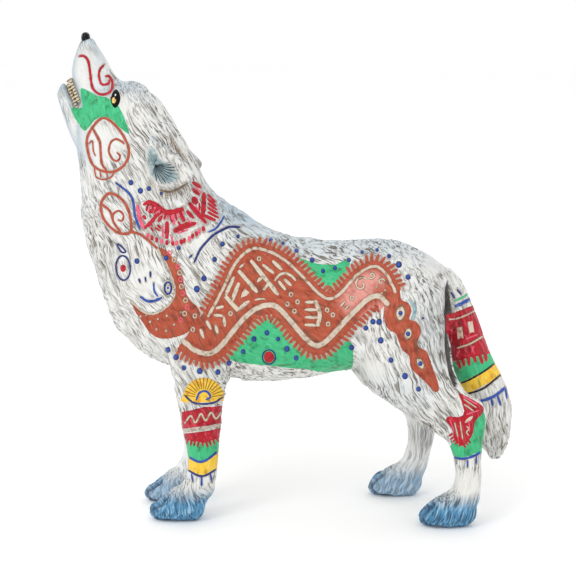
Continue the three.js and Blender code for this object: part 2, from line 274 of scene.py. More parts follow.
def lattice(points, seed):
    """Smooth value noise in -1..1 at each point, with features one unit across."""
    size = 64
    table = np.random.default_rng(seed).uniform(-1, 1, (size, size, size))
    cell = np.floor(points).astype(int)
    f = points - cell
    f = f * f * (3 - 2 * f)
    value = 0
    for corner in range(8):
        step = np.array([corner & 1, corner >> 1 & 1, corner >> 2 & 1])
        weight = np.prod(np.where(step, f, 1 - f), axis=1)
        i, j, k = ((cell + step) % size).T
        value = value + weight * table[i, j, k]
    return value


def ramp(value, low, high):
    """0 at low, 1 at high, and smooth between."""
    t = np.clip((value - low) / (high - low), 0, 1)
    return t * t * (3 - 2 * t)


# ---------------------------------------------------------------- the sheet

def to_sheet(points):
    """Where each point of the figurine shows on the sheet."""
    rel = points - TARGET
    scale = EYE_DISTANCE / (EYE_DISTANCE - rel @ BACK)
    return np.stack([rel @ ACROSS * scale, rel @ UP * scale], 1)


def stride(z, surface):
    """How far a right leg is moved along x at height z."""
    if surface not in STRIDE:
        return np.zeros_like(z)
    reach, fade = STRIDE[surface]
    return reach * (1 - np.clip(z / fade, 0, 1) ** STRIDE_POWER)


def mirrored(points, side, surface, way):
    """Points of this flank moved to the left flank (way -1), or the reverse (way 1)."""
    if side == LEFT:
        return points
    moved = points * FLIP
    moved[:, 0] += way * stride(points[:, 2], surface)
    return moved


def inside_by(uv, outline):
    """Signed distance into an outline: positive inside, and no less than -FAR outside."""
    a = np.asarray(outline, float)
    b = np.roll(a, -1, axis=0)
    depth = np.full(len(uv), -FAR)
    near = np.all((uv > a.min(0) - 3) & (uv < a.max(0) + 3), axis=1)
    p = uv[near][:, None]
    run = b - a
    t = np.clip(np.sum((p - a) * run, 2) / (np.sum(run * run, 1) + 1e-9), 0, 1)
    far = np.linalg.norm(p - a - t[..., None] * run, axis=2).min(1)
    spans = (a[:, 1] > p[..., 1]) != (b[:, 1] > p[..., 1])
    cross = a[:, 0] + (p[..., 1] - a[:, 1]) * run[:, 0] / np.where(run[:, 1] == 0, 1e-9, run[:, 1])
    odd = np.sum(spans & (p[..., 0] < cross), 1) % 2 == 1
    depth[near] = np.where(odd, far, -far)
    return depth


def near_line(uv, path, half):
    """Signed distance into a line of that half width: positive on it."""
    depth = np.full(len(uv), -FAR)
    near = np.all((uv > path.min(0) - 3) & (uv < path.max(0) + 3), axis=1)
    p = uv[near]
    best = np.full(len(p), 9.0)
    for a, b in zip(path, path[1:]):
        run = b - a
        t = np.clip((p - a) @ run / (run @ run + 1e-9), 0, 1)
        best = np.minimum(best, np.linalg.norm(p - a - t[:, None] * run, axis=1))
    depth[near] = half - best
    return depth


# ---------------------------------------------------------------- the drawing

class Drawing:
    """Marks on the sheet: fills that tint and lift the skin, and strokes and spots of paint."""

    def __init__(self):
        self.surface = "body"
        self.fills = []
        self.strokes = []
        self.spots = []

    def fill(self, paint, outline, smooth=True):
        outline = spline(outline, FILL_STEP, closed=True) if smooth else np.array(outline, float)
        self.fills.append((self.surface, paint, outline, None))

    def band(self, paint, points, width):
        path = spline(points, FILL_STEP) if len(points) < 40 else np.asarray(points)
        self.fills.append((self.surface, paint, path, width / 2))

    def line(self, paint, width, points, closed=False, taper=(0.5, 0.5)):
        path = spline(points, closed=closed)
        if closed:
            path = np.vstack([path, path[:1]])
            taper = (1, 1)
        if paint == "cream":
            self.strokes.append((self.surface, "shadow", path, width + SHADOW_EXTRA, taper))
        self.strokes.append((self.surface, paint, path, width, taper))

    def lines(self, paint, width, *pairs, taper=(0.6, 0.5)):
        for pair in pairs:
            self.line(paint, width, pair, taper=taper)

    def spot(self, paint, outline, rise=0.22):
        self.spots.append((self.surface, paint, np.asarray(outline, float), rise))

    def dots(self, paint, radius, *centres, rim="navy"):
        """Drops of paint, each with a darker rim."""
        for n, (u, v) in enumerate(centres):
            r = 0.88 * radius * (1 + 0.12 * math.sin(2.4 * n))
            self.spot(rim, ellipse((u, v), (r, r * 1.12), count=12), 0.1)
            self.spot(paint, ellipse((u - 0.05, v + 0.08), (r * 0.66, r * 0.74), count=10), 0.3)

    def fringe(self, paint, path, length, width, pitch, lean=0.0, out=1, start=0.0):
        """Short strokes that stand along a path; lean tips them along it."""
        run = np.concatenate([[0], np.cumsum(np.linalg.norm(np.diff(path, axis=0), axis=1))])
        side = side_of(path) * out
        along = np.stack([side[:, 1], -side[:, 0]], 1) * out
        for n, s in enumerate(np.arange(start + pitch / 2, run[-1], pitch)):
            at = [np.interp(s, run, path[:, k]) for k in (0, 1)]
            i = int(np.clip(np.searchsorted(run, s), 0, len(path) - 1))
            reach = length * (1 + 0.22 * math.sin(2.1 * n) * math.cos(0.7 * n))
            tip = at + reach * (side[i] + (lean + 0.12 * math.sin(1.7 * n)) * along[i])
            self.line(paint, width, [at - 0.3 * side[i], tip], taper=(1.1, 0.45))


def muzzle_and_cheek(draw):
    """The scroll on the muzzle and the green ground behind the lips."""
    draw.fill("green", [
        (-61, 58.6), (-57.6, 57.4), (-56.2, 56.6), (-53.5, 56.2), (-51.6, 55), (-49.6, 53.2),
        (-47.9, 49.4), (-46.7, 45.3), (-50, 47.6), (-51.8, 49.4), (-54.1, 50.3), (-56.8, 49.4),
        (-59.7, 46.2), (-62.1, 49.1), (-63.8, 52.9), (-60.6, 53.2)])
    draw.line("red", 0.8, [
        (-61.5, 68.2), (-60, 68.2), (-58.8, 66.8), (-58.2, 63.5), (-57.9, 60.9), (-57.2, 58.4),
        (-54.8, 56.9), (-52.2, 57.9), (-51.6, 60.4), (-52.6, 62.3), (-53.8, 62.2)])
    draw.line("red", 0.75, [(-54, 65.7), (-55.3, 64.3), (-55.6, 62.4), (-54.8, 60), (-52.9, 60.1),
                            (-52.5, 61.3)])


def moon_signs(draw):
    """Two leaf-shaped signs down the neck, with scrolls in them, and a thread to the face."""
    draw.line("rust", 0.8, [
        (-54.2, 50), (-50, 47), (-46.9, 41.2), (-47.9, 36.5), (-52.1, 34.1), (-57.2, 36),
        (-59.2, 42.6), (-57.6, 47.1)], closed=True)
    draw.line("rust", 0.75, [(-57.4, 46.8), (-55.4, 43), (-55.1, 39.7), (-54.7, 36.5),
                             (-53.2, 34.4)])
    draw.line("rust", 0.65, [
        (-48.2, 42.4), (-49.1, 43.2), (-50.6, 43.8), (-52.1, 42.8), (-52.7, 40.2), (-51.5, 37.8),
        (-50, 37.5), (-49.4, 38.8), (-50.4, 39.9)])
    draw.line("rust", 0.5, [(-58.6, 42.4), (-57.6, 43.2), (-57.2, 40.3), (-56.6, 38.8)])
    draw.line("rust", 0.5, [(-57, 35.6), (-56.4, 32.7), (-54.1, 31.9), (-52, 32.7), (-51, 34.2)])
    draw.lines("rust", 0.4, [(-55.4, 35), (-55, 32.4)], [(-53.4, 34.3), (-53, 32.4)])
    draw.line("rust", 0.85, [
        (-55, 24.8), (-52.6, 27.8), (-49.1, 26.2), (-46.8, 22.4), (-46.2, 16.8), (-49.1, 16),
        (-52.1, 17.8), (-54.4, 20.8)], closed=True)
    draw.line("rust", 0.75, [(-55, 24.8), (-52.4, 22.6), (-51.2, 19.2), (-49.1, 16.3)])
    draw.line("rust", 0.65, [
        (-51.6, 19.6), (-51.3, 21.8), (-49.7, 22.7), (-48.4, 21.4), (-48.8, 19.8), (-50, 20)])
    draw.line("rust", 0.85, [(-46.2, 16.6), (-43.8, 15.9), (-41.4, 14.3), (-38.4, 11.6)])


def throat_marks(draw):
    """Blue marks between the signs and the collar, and the two bows behind it."""
    draw.line("blue", 0.75, [
        (-50.6, 30.9), (-49, 29.7), (-47.1, 28.2), (-45.9, 26.5), (-45.3, 24.1), (-45, 21.2),
        (-43.5, 17.1)], taper=(1.3, 0.4))
    draw.dots("blue", 0.85, (-46.2, 31), (-43.4, 28.6), (-40.9, 29.2))
    draw.dots("blue", 0.5, (-37.3, 27.8))
    draw.line("blue", 0.6, [(-23.4, 16.5), (-21.5, 17.3), (-20, 19), (-18.7, 21.2)])
    draw.line("navy", 0.75, [
        (-27.6, 7.4), (-25.9, 11.2), (-24, 13.5), (-21.9, 15.6), (-19.3, 17.1), (-17.1, 18),
        (-14.1, 17.9)], taper=(0.5, 0.7))
    draw.line("navy", 0.6, [(-29.1, 8.8), (-28.1, 9.8)])


def collar(draw):
    """A red necklace of short thick strokes below the ear."""
    draw.line("red", 1.7, [
        (-42.6, 24.4), (-41.2, 25.1), (-39.2, 24.6), (-37.6, 23.4), (-36, 22.3), (-33.6, 22.4),
        (-30.7, 23.3)], taper=(0.35, 0.7))
    arc = spline([(-42, 24.4), (-39.2, 23.6), (-36, 21.4), (-33.6, 21.4), (-30.9, 22.4)], 0.4)
    draw.fringe("red", arc, 1.7, 0.75, 1.5, out=-1)
    draw.fringe("pink", arc, 1.3, 0.5, 1.5, out=-1, start=0.75)
    draw.line("pink", 1.15, [(-44.3, 24.6), (-43.6, 20.6), (-42.4, 17.5)])
    draw.line("red", 1.2, [(-42.4, 17.5), (-40.2, 19.4), (-38.2, 22.2)])
    draw.lines("red", 1.35, [(-41, 22.2), (-38.9, 23.2)], [(-35.6, 19.6), (-35.6, 14.4)],
               [(-31.6, 22.1), (-30.5, 19.5)], [(-29.2, 25.1), (-24, 19)])
    draw.lines("red", 1.1, [(-42.6, 21.4), (-41.8, 20.2)], [(-38.2, 19.5), (-37, 21.3)],
               [(-29.8, 22.7), (-27.7, 20.5)])
    draw.line("pink", 1.1, [(-34.5, 21.4), (-33.4, 18.6)])
    draw.line("red", 1.9, [(-33.7, 16.6), (-30.5, 18.2), (-27, 19.1)], taper=(0.5, 0.3))
    draw.spot("red", ellipse((-27.4, 25.7), (1.0, 1.3), 25, 12), 0.2)
    draw.line("red", 1.5, [(-24.7, 28.1), (-24.8, 24.5), (-25.1, 21)])
    draw.line("red", 0.6, [(-26, 25), (-26.1, 22.6)])
    draw.line("red", 1.2, [(-25.1, 21.5), (-23.2, 20.7), (-21.3, 19.9)])
    draw.lines("red", 1.15, [(-28.1, 31.2), (-25.6, 29.5)], [(-28.1, 29.2), (-26, 27.4)])
    for n in range(5):
        draw.line("red", 0.85, [(-23.7, 27.6 - 1.3 * n), (-21.3 + 0.25 * n, 25.2 - 1.15 * n)])
    beads = spline([(-41.2, 16.2), (-38.6, 14.9), (-34, 13.9), (-30.4, 14.7), (-28, 16),
                    (-25, 18.2)], 1.45)
    for n, (u, v) in enumerate(beads):
        tip = (u + 0.25 * math.sin(3 * n), v - 1.5)
        draw.line("red" if n % 3 else "pink", 1.05, [(u, v), tip])
    draw.lines("pink", 0.55, [(-44.2, 22.6), (-43.2, 18.8)], [(-34.2, 15.6), (-34, 13.2)],
               [(-27.2, 24.2), (-25.9, 22.2)], [(-27.2, 29.6), (-25.4, 28)],
               [(-36.9, 18.4), (-36.8, 14.8)], [(-32.6, 16), (-29.4, 17.2)],
               [(-29.6, 20.4), (-28.4, 18.9)])
    draw.lines("red", 0.75, [(-41, 19.6), (-39.8, 18.2)], [(-38.4, 18.6), (-37.4, 17.4)],
               [(-26.6, 23.4), (-25.8, 20.8)], [(-32.4, 19.6), (-31.6, 18.4)])
    draw.lines("red", 0.65, [(-39.2, 17.8), (-37.6, 16.8)], [(-40.4, 18), (-39.6, 16.6)])


def crescent_face(draw):
    """A pale face in profile cradled by a rust crescent, with ringed eyes and a smile."""
    chin = [(-46.2, -3.6), (-45, -6.5), (-42.6, -10), (-40, -13.2), (-37.1, -14.7), (-33.2, -14.5),
            (-29.5, -13), (-26.5, -10), (-26, -6.5), (-29.1, -3.2), (-30.3, 0), (-31.5, 5.6),
            (-33.7, 8.7), (-35.9, 11.2), (-38.5, 11.9)]
    brow = [(-36.6, 8.6), (-34.9, 5), (-33.6, 1.6), (-33.3, -1.4), (-34, -3.6), (-35.6, -5.5),
            (-38, -7.1), (-40.6, -7.6), (-43.4, -6.4)]
    outline = np.vstack([spline(chin, FILL_STEP), spline(brow, FILL_STEP)])
    draw.fill("rust", outline, smooth=False)
    draw.band("cream", [(-46, -3.9)] + brow[::-1] + [(-38.4, 11.6)], 0.55)
    draw.line("navy", 0.55, ellipse((-48.5, 5.9), (2.1, 3.6), 4), closed=True)
    draw.spot("red", ellipse((-48.5, 5.8), (0.8, 1.1)), 0.18)
    draw.line("navy", 0.55, [(-50.5, 13), (-49.2, 12.4), (-47.7, 10.7), (-49, 10.6), (-50.4, 12.8)])
    draw.dots("blue", 0.85, (-44.4, 7.9))
    draw.lines("navy", 0.65, [(-43.4, 1.5), (-43.9, 2.8)], [(-41.8, 1.9), (-42, 3.3)],
               [(-40.4, 3.1), (-40.5, 4.9)])
    draw.line("blue", 0.6, [(-39.5, 1.6), (-39.3, -0.9), (-38.2, -2.6)])
    draw.line("blue", 0.85, [(-43.5, -2.5), (-41.5, -3.8), (-39.4, -3.8), (-37, -2.8)],
              taper=(0.8, 0.5))
    draw.line("navy", 0.6, ellipse((-35.3, 0), (1, 1.75)), closed=True)
    draw.dots("blue", 0.4, (-35.3, 0))
    for n, (u, v) in enumerate(spline([(-34.8, 10.2), (-32.4, 6.4), (-31.6, 2.5), (-31, -1.6),
                                       (-29.6, -5.6), (-31.6, -9.4)], 2.3)):
        draw.line("cream" if n % 2 else "pink", 0.3, ellipse((u, v), (0.55, 0.65)), closed=True)
    draw.dots("cream", 0.5, (-43.3, -8.4), (-40.5, -10), (-38.2, -9.2), (-35.6, -8.2),
              (-33.4, -10.8), (-38.6, -12.2), (-35.8, -12.6), (-41.6, -8), (-31.4, -7.2),
              rim="shadow")


SNAKE_TOP = [
    (-23.4, -8.2), (-21.3, -4.4), (-18.8, 0.4), (-16.3, 5.8), (-13.4, 9.6), (-10.2, 11.4),
    (-6.6, 10.9), (-2.6, 9.2), (1.3, 6.3), (5.3, 2.2), (9, -1.6), (12.2, -3.2), (15.6, -1.4),
    (19.8, 3.4), (23.4, 6), (26.3, 6.4), (29, 4), (30.6, 1), (31.6, -1.2)]
SNAKE_FOOT = [
    (-30.6, -15.6), (-27.4, -18.2), (-23.5, -19.3), (-20.2, -17.5), (-16.4, -13), (-12.6, -8.6),
    (-8.8, -5.8), (-4.7, -5), (-1.6, -7), (1.9, -11), (5.2, -14.8), (8.5, -17), (12.1, -14.8),
    (16.5, -10), (20.9, -5.6), (24.1, -2.9), (26.8, -2.4), (29.2, -4.6)]


def serpent(draw):
    """The two-ridged serpent along the flank: a lifted rust ground, pale contours and fringes."""
    top = spline(SNAKE_TOP, FILL_STEP)
    foot = spline(SNAKE_FOOT, FILL_STEP)
    top_edge = top + 1.8 * side_of(top)
    foot_edge = foot - 2.8 * side_of(foot)
    draw.fill("rust", np.vstack([top_edge, foot_edge[::-1]]), smooth=False)
    draw.fill("blush", [(15, -3), (20, 2.6), (24, 5), (27.5, 3.6), (28, 0), (25, -1.8), (21, -4.4),
                        (17, -7.5)])
    draw.fill("blush", [(21.5, -8.6), (25.5, -4.6), (28.4, -4.4), (28, -7.6), (24.5, -9.4)])
    draw.band("cream", SNAKE_TOP, 0.85)
    draw.band("cream", SNAKE_FOOT, 1.5)
    for edge, out in ((top_edge, 1), (foot_edge, -1)):
        draw.band("soot", edge + 0.6 * out * side_of(edge), 1.5)
        draw.fringe("rust", edge, 1.8, 0.98, 1.5, lean=0.15, out=out)


def serpent_signs(draw):
    """Abstract combs, bars, hooks, rings and zigzags in the serpent's body; they spell nothing."""
    draw.lines("cream", 1.35, [(-14.6, 5.2), (-9, -1.3)], [(-11, 8.2), (-2.8, -2.1)])
    draw.lines("cream", 1, [(-7.3, -0.6), (-5.6, 1.5)], [(-9, 1.8), (-7.4, 3.6)])
    draw.line("cream", 0.8, [(-3.9, 2.1), (-2.4, 3.9), (-0.6, 4.3), (1.2, 3.4), (2.3, 2.1)])
    draw.lines("cream", 1.1, [(-2.8, 2.1), (-0.7, -0.6)], [(-1.2, 2.7), (1.1, 0.6)],
               [(-7.5, 6.9), (-4.1, 4.3)], [(-4.6, 8), (-1.7, 5.3)])
    draw.line("cream", 0.65, [(-14.3, 5.9), (-12.8, 7.2)])
    draw.line("cream", 1.2, [(-15.8, 3.4), (-17.2, 0.4), (-18.4, -2.2)])
    draw.line("cream", 1.5, [(-18.4, -2.4), (-16.5, -4.6), (-14.6, -6.6)], taper=(0.8, 0.9))
    draw.line("cream", 1.3, [(-14.4, 1.6), (-15.4, -1), (-16.4, -3.8)])
    draw.line("cream", 1.25, [(-14.6, -6.6), (-13, -5), (-11.3, -3.8)])
    draw.spot("cream", [(-12.8, -0.1), (-11.3, -1.3), (-12.2, -2.3), (-13.9, -2.9), (-13.5, -1.4)])
    draw.line("cream", 0.6, [(-9.8, -3.6), (-8.2, -3.2), (-6.6, -3.3)])
    draw.lines("cream", 1, [(-21.8, -7.9), (-19.1, -8.2)], [(-21.2, -6), (-18.9, -5.4)],
               [(-18.9, -8.4), (-18.5, -11.4)], [(-24, -9.6), (-22.6, -12.2)],
               [(-21.4, -10.6), (-20.6, -13.6)], [(-25.8, -12), (-24.8, -14.8)])
    rings = [(-8.5, 8.6), (0.9, -1.9), (-0.2, -4.7), (2.8, -4.1), (1.9, -6.8), (-16.9, -7.5),
             (-27.4, -8.2), (-28, -12.2), (11.5, -6.5), (13.2, -7.9), (11.8, -10.6), (18.8, -2.9)]
    for centre in rings:
        draw.line("cream", 0.38, ellipse(centre, (0.5, 0.6), count=10), closed=True)
    draw.line("cream", 1.4, [(7.9, -3.6), (9.3, -7.4), (8.8, -11.3)], taper=(0.6, 0.8))
    for n in range(4):
        draw.line("cream", 0.95, [(8.9 - 0.1 * n, -4.1 - 2.3 * n), (4.9, -4.2 - 2.2 * n)])
    draw.line("cream", 0.55, spiral((21.6, 1), 2.3, 40, 1.1))
    draw.line("cream", 0.45, spiral((24.6, 3.8), 1.2, 200, 1))
    draw.line("cream", 0.5, spiral((27.4, 1.8), 1.1, 10, 0.9))
    draw.lines("cream", 0.6, [(15.4, -5.4), (16.8, -3.9)], [(16.8, -6.3), (18, -5)])
    draw.dots("cream", 0.45, (28.6, -0.8), (27.6, -1.6), (26.2, 0.2), rim="shadow")


def serpent_tail(draw):
    """The lobed rust tail down the haunch, with an eye in each lobe."""
    draw.fill("rust", [
        (28.8, 0.5), (28.4, -4.5), (28.2, -8), (29.4, -12.1), (31.6, -13.4), (32.4, -15.5),
        (33.7, -18.5), (35.2, -19.4), (35.7, -21.1), (36.3, -23.7), (38, -25.5), (40.2, -27.6),
        (43.4, -30.8), (44.3, -30.2), (43.9, -27.2), (42.6, -23.7), (41.6, -20.7), (40.6, -18.5),
        (38.4, -17.2), (38.2, -15.5), (39.2, -12.9), (38.1, -10.2), (35.7, -9.1), (36.4, -7),
        (35.6, -4.6), (33.3, -3.2), (32.6, 0)])
    lobes = (((33.1, -7.4), 5.2, 3.1, -8), ((35.3, -13.5), 4, 2.5, -14),
             ((38.9, -22.2), 4.2, 2.2, 28))
    for centre, length, width, tilt in lobes:
        draw.spot("shadow", almond(centre, length, width, tilt), 0.08)
        draw.spot("cream", almond(centre, length * 0.82, width * 0.8, tilt), 0.14)
        draw.spot("navy", ellipse(centre, (0.72, 0.85)), 0.26)
        draw.spot("blue", ellipse((centre[0] - 0.1, centre[1] + 0.1), (0.5, 0.6)), 0.36)
    draw.line("teal", 0.8, [(35.9, -3.6), (37.3, -6.3), (36.6, -9.4)], taper=(0.4, 0.4))


def green_grounds(draw):
    """The green saddle patch and the green belly under the serpent."""
    draw.fill("green", [
        (3.6, 8.7), (7.1, 7.6), (10.5, 7), (13.8, 6.9), (18, 8.7), (17.6, 4.7), (15.3, 0.9),
        (12.1, -0.9), (9.1, 1.5), (5.3, 4.6)])
    draw.fill("green", [
        (-17.6, -18.8), (-14.7, -15.6), (-8.2, -8.8), (-1.5, -9.7), (5, -17.9), (9.1, -20.6),
        (12.9, -18.5), (17.4, -15.6), (19, -17.3), (18.8, -23.9), (15, -24.8), (9.4, -24.6),
        (2.9, -23.8), (-4.4, -23.2), (-9.7, -22.4), (-16.2, -21.5)])
    draw.spot("red", ellipse((-5.6, -20.3), (1.5, 1.7)), 0.2)
    draw.line("navy", 0.45, ellipse((-5.6, -20.3), (1.9, 2.1)), closed=True)


def blue_dots(draw):
    """The drops of blue paint scattered round the serpent."""
    draw.dots("blue", 0.75, (-19.3, 12.9), (-21.6, 8.4), (-32.1, 11.8), (-35.9, 8.8),
              (10.3, 5), (13.8, 5.9), (7.1, 8.2), (17.9, 8.2))
    draw.dots("blue", 0.4, (39.7, -8.8))
    draw.dots("blue", 0.95, (-24.7, 2.8), (-26.8, -0.3), (35.3, 3.2), (32.6, 6.9))
    draw.dots("blue", 0.62, (-14.7, 15.2), (-5.1, 14.1), (-1.5, 13.2), (2.5, 11), (21.8, 10.6),
              (26.2, 11.2), (29.7, 9.4))
    draw.dots("blue", 0.9, (25, -9.9), (26.8, -10), (22.9, -11.8), (27.3, -15.4), (18.7, -17.5),
              (30.3, -21.2), (34.4, -25.9), (38.4, -29.7))
    draw.dots("blue", 0.85, (-6.2, -13.2), (-10, -15), (-2.9, -15), (-0.3, -17.9), (2.4, -20.6),
              (-13.2, -18.7))
    draw.dots("blue", 0.9, (-35.3, -18.2), (-32.9, -20.3), (-30.6, -23.5), (-25.9, -24.4),
              (-20.6, -24.7), (-17.4, -22.1))


def front_leg_bands(draw):
    """A yellow sun fan at the top of the leg, then red, green and yellow bands down to the paw."""
    draw.surface = "front_leg"
    hub = (-24.8, -32.3)
    rim = [(hub[0] + 6 * math.cos(a), hub[1] + 5.9 * math.sin(a))
           for a in np.radians(np.arange(5, 180, 14))]
    draw.fill("yellow", rim + [(-30.6, -33.6), (-19, -33.2)])
    for n in range(15):
        a = math.radians(8 + 11.7 * n)
        draw.line("ochre", 0.3, [(hub[0] + r * math.cos(a), hub[1] + r * math.sin(a))
                                 for r in (2.6, 5.9)], taper=(0.6, 1))
    draw.line("navy", 0.6, [(-30.4, -31.6), (-28, -33.6), (-25, -34.1), (-21.6, -33.6), (-19, -32)])
    draw.line("blue", 0.7, [(-27, -33), (-26, -30.8), (-24, -30.4), (-22.8, -32), (-24.2, -32.9)])
    draw.fill("red", [(-31, -36.4), (-24.4, -34.8), (-18, -34.6), (-18, -39.3), (-24.4, -40.6),
                      (-31, -41.4)], smooth=False)
    draw.line("cream", 0.5, [(-30.4, -39.8), (-28.6, -37.6), (-27.2, -39.6), (-25.6, -37),
                             (-24.2, -39), (-22.6, -36.6), (-21.2, -38.4), (-19.4, -36.2)])
    draw.band("cream", [(-31, -42), (-24.6, -41.2), (-18, -39.8)], 0.7)
    draw.fill("red", [(-31, -42.8), (-24.5, -42), (-18, -40.6), (-18, -43.6), (-24.7, -45.6),
                      (-31, -44.6)], smooth=False)
    hem = spline([(-30, -44.4), (-24.7, -45.4), (-19.6, -43.6)], 0.5)
    draw.fringe("red", hem, 1.5, 0.7, 1.1, out=-1)
    draw.fill("green", [(-31, -44.6), (-24.7, -45.6), (-18, -43.4), (-18, -46.8), (-20.6, -48.2),
                        (-25.3, -51), (-29.7, -49.6), (-31, -48.6)], smooth=False)
    draw.fill("yellow", [(-31, -48.6), (-29.7, -49.6), (-25.3, -51), (-20.6, -48.2), (-18, -46.8),
                         (-18, -51.5), (-20.9, -53.4), (-25.3, -55.2), (-29.4, -53.7),
                         (-31, -52.6)], smooth=False)
    draw.line("blue", 0.8, [(-30.3, -49.2), (-25.3, -51.1), (-20, -47.6)], taper=(1, 1))
    draw.line("navy", 0.65, [(-30.3, -53.1), (-25.3, -55.3), (-20.2, -52.8)], taper=(1, 1))
    draw.lines("blue", 0.6, [(-28.4, -54.6), (-28, -57)], [(-25.4, -55.6), (-25.4, -58.2)],
               [(-22.8, -54.6), (-22.4, -57)])


def hock_patch(draw):
    """The red and green patch round the near hock."""
    draw.surface = "hind_leg"
    draw.fill("green", [(55.4, -37), (57.8, -37.4), (57.6, -47.6), (55, -48.7), (52.1, -49.8),
                        (48.7, -49.4), (47, -47.4), (49, -45)])
    draw.fill("red", [
        (50.4, -30.9), (55.9, -33.9), (57.4, -35.6), (56.9, -37.1), (55, -39.3), (54.7, -41.5),
        (53.5, -44.6), (51.2, -46.5), (49.1, -45), (48.2, -41.5), (46.5, -38.9), (47.2, -37.8),
        (50.6, -37.8), (51.8, -36.3), (50.9, -33.2)])
    draw.lines("cream", 0.35, [(51.6, -32.6), (55.4, -35.2)], [(51.8, -34.2), (54.6, -36.2)],
               [(49, -39.6), (50, -43.8)], [(50.6, -39.2), (51.4, -44.6)])
    draw.line("cream", 0.35, [(52.4, -40.6), (53.2, -41.4), (52.5, -42.4), (53.2, -43.4)])
    hem = spline([(47.9, -42.6), (49.6, -45), (51.4, -46), (53.4, -44.4)], 0.4)
    draw.fringe("red", hem, 1.1, 0.62, 0.95, out=-1)
    draw.lines("pink", 0.4, [(51.4, -31.8), (55.6, -34.2)], [(52.4, -37.2), (56.2, -36)],
               [(47.6, -38.6), (48.9, -42.4)], [(53.2, -38.8), (53.4, -42.4)])
    draw.spot("cream", almond((53.2, -38.7), 3, 1, -50), 0.12)
    draw.line("blue", 0.8, [(47.6, -49.6), (51.6, -50.2), (55, -49.2), (57.4, -47.8)],
              taper=(1, 1))
    draw.lines("blue", 0.6, [(52.8, -50.6), (52.8, -52.8)], [(55.4, -49.4), (55.3, -51.8)],
               [(56.9, -48.4), (56.7, -50.4)])


def tail_bands(draw):
    """Bands round the tail: ticks, blue, a red block with pale windows, green, yellow and blue."""
    draw.surface = "tail"
    draw.lines("navy", 0.75, [(47.9, -1.2), (49.1, -3.1)], [(49.7, -0.4), (51, -1.9)],
               [(51.8, 0.6), (52.6, -0.6)])
    draw.line("green", 0.6, [(47.2, -4.2), (50.4, -3.2), (53.6, -1.4)], taper=(1, 1))
    draw.line("blue", 1, [(47.2, -6), (50.4, -4.9), (54.4, -2.7)], taper=(1, 1))
    draw.fill("red", [(46.9, -7.9), (50.8, -6.4), (56, -4.4), (60, -19.2), (53, -20.6),
                      (47.2, -22)], smooth=False)
    draw.band("cream", [(48, -9.4), (51, -8.6), (55.6, -6.4)], 0.45)
    draw.spot("cream", [(49.6, -11.6), (51.2, -11.4), (51.6, -14.8), (49.9, -15.1)], 0.12)
    draw.spot("cream", [(52.8, -10), (54.2, -9.6), (54.8, -13), (53.4, -13.4)], 0.12)
    draw.line("cream", 0.5, [(49.6, -17.7), (53.6, -16.4), (57.6, -14)])
    draw.lines("pink", 0.4, [(48.2, -12), (48, -16)], [(52.2, -15), (56, -13.6)],
               [(49.6, -20.2), (50.4, -18.4)], [(54, -19), (54.6, -17)])
    hem = spline([(47.3, -22), (52.6, -20.6), (60.2, -18.8)], 0.5)
    draw.fill("green", [(47.2, -22), (53, -20.6), (61, -19), (63, -20.8), (58, -24.2), (52, -27.3),
                        (48.4, -28.4)], smooth=False)
    draw.fringe("red", hem, 2.3, 1.15, 1.7, out=-1)
    draw.fill("yellow", [(48.4, -28.4), (52, -27.3), (58, -24.2), (63, -20.8), (65, -23.4),
                         (60, -27.4), (54, -30.6), (50.4, -31.4)], smooth=False)
    draw.line("black", 0.6, [(48.6, -28.4), (52.4, -27.4), (57.8, -24.4), (62, -21.2)],
              taper=(1, 1))
    draw.line("black", 0.6, [(52.6, -31.2), (57.6, -29.4), (63.6, -24.6)], taper=(1, 1))
    draw.line("blue", 0.9, [(54.8, -33.8), (60.3, -32), (65, -28.4)], taper=(1, 1))
    draw.lines("blue", 0.75, [(59.8, -32.4), (60.2, -34.8)], [(61.6, -31.6), (62.6, -34.6)],
               [(64, -29.6), (64.4, -32.6)])


def rump_fold_shade(draw):
    """Painted shade: a near-black fill in the fold between the haunch and the tail."""
    draw.surface = "hind_leg"
    draw.fill("shaded_fold", [(46.8, 2), (47.9, -4), (48.7, -12), (48.6, -22), (49.8, -29), (49.1, -29),
                         (47.4, -24), (46.5, -18), (46.2, -8)])


def ear_hairs(draw):
    """The grey-blue inside of the ear, with dark hairs that fan from the ear hole."""
    draw.surface = "ear"
    draw.fill("ear", [(-41.4, 40.6), (-39.6, 41.4), (-37.2, 38.2), (-33.4, 34.8), (-31.4, 32.8),
                      (-33.4, 31.2), (-36.8, 30.6), (-39.8, 32.2), (-41.4, 35.6)])
    hole = (-38.9, 36.6)
    hairs = 48
    for n in range(hairs):
        turn = math.radians(-112 + 104 * n / hairs + 4 * math.sin(5 * n))
        reach = 3 + 3.8 * math.sin(math.pi * n / hairs) + 1.1 * math.sin(2.7 * n)
        root = 0.1 + 1.4 * abs(math.sin(1.9 * n))
        path = [(hole[0] + r * math.cos(turn + 0.05 * r), hole[1] + r * math.sin(turn + 0.05 * r))
                for r in (root, 0.5 * reach, reach)]
        draw.line("slate" if n % 5 else "black", 0.2, path, taper=(1, 0.2))
    for n in range(7):
        turn = math.radians(80 + 22 * n)
        draw.line("slate", 0.26, [(hole[0] + r * math.cos(turn), hole[1] + 1.3 * r * math.sin(turn))
                                  for r in (0.3, 1.4 + 0.3 * math.sin(3 * n))], taper=(1, 0.3))


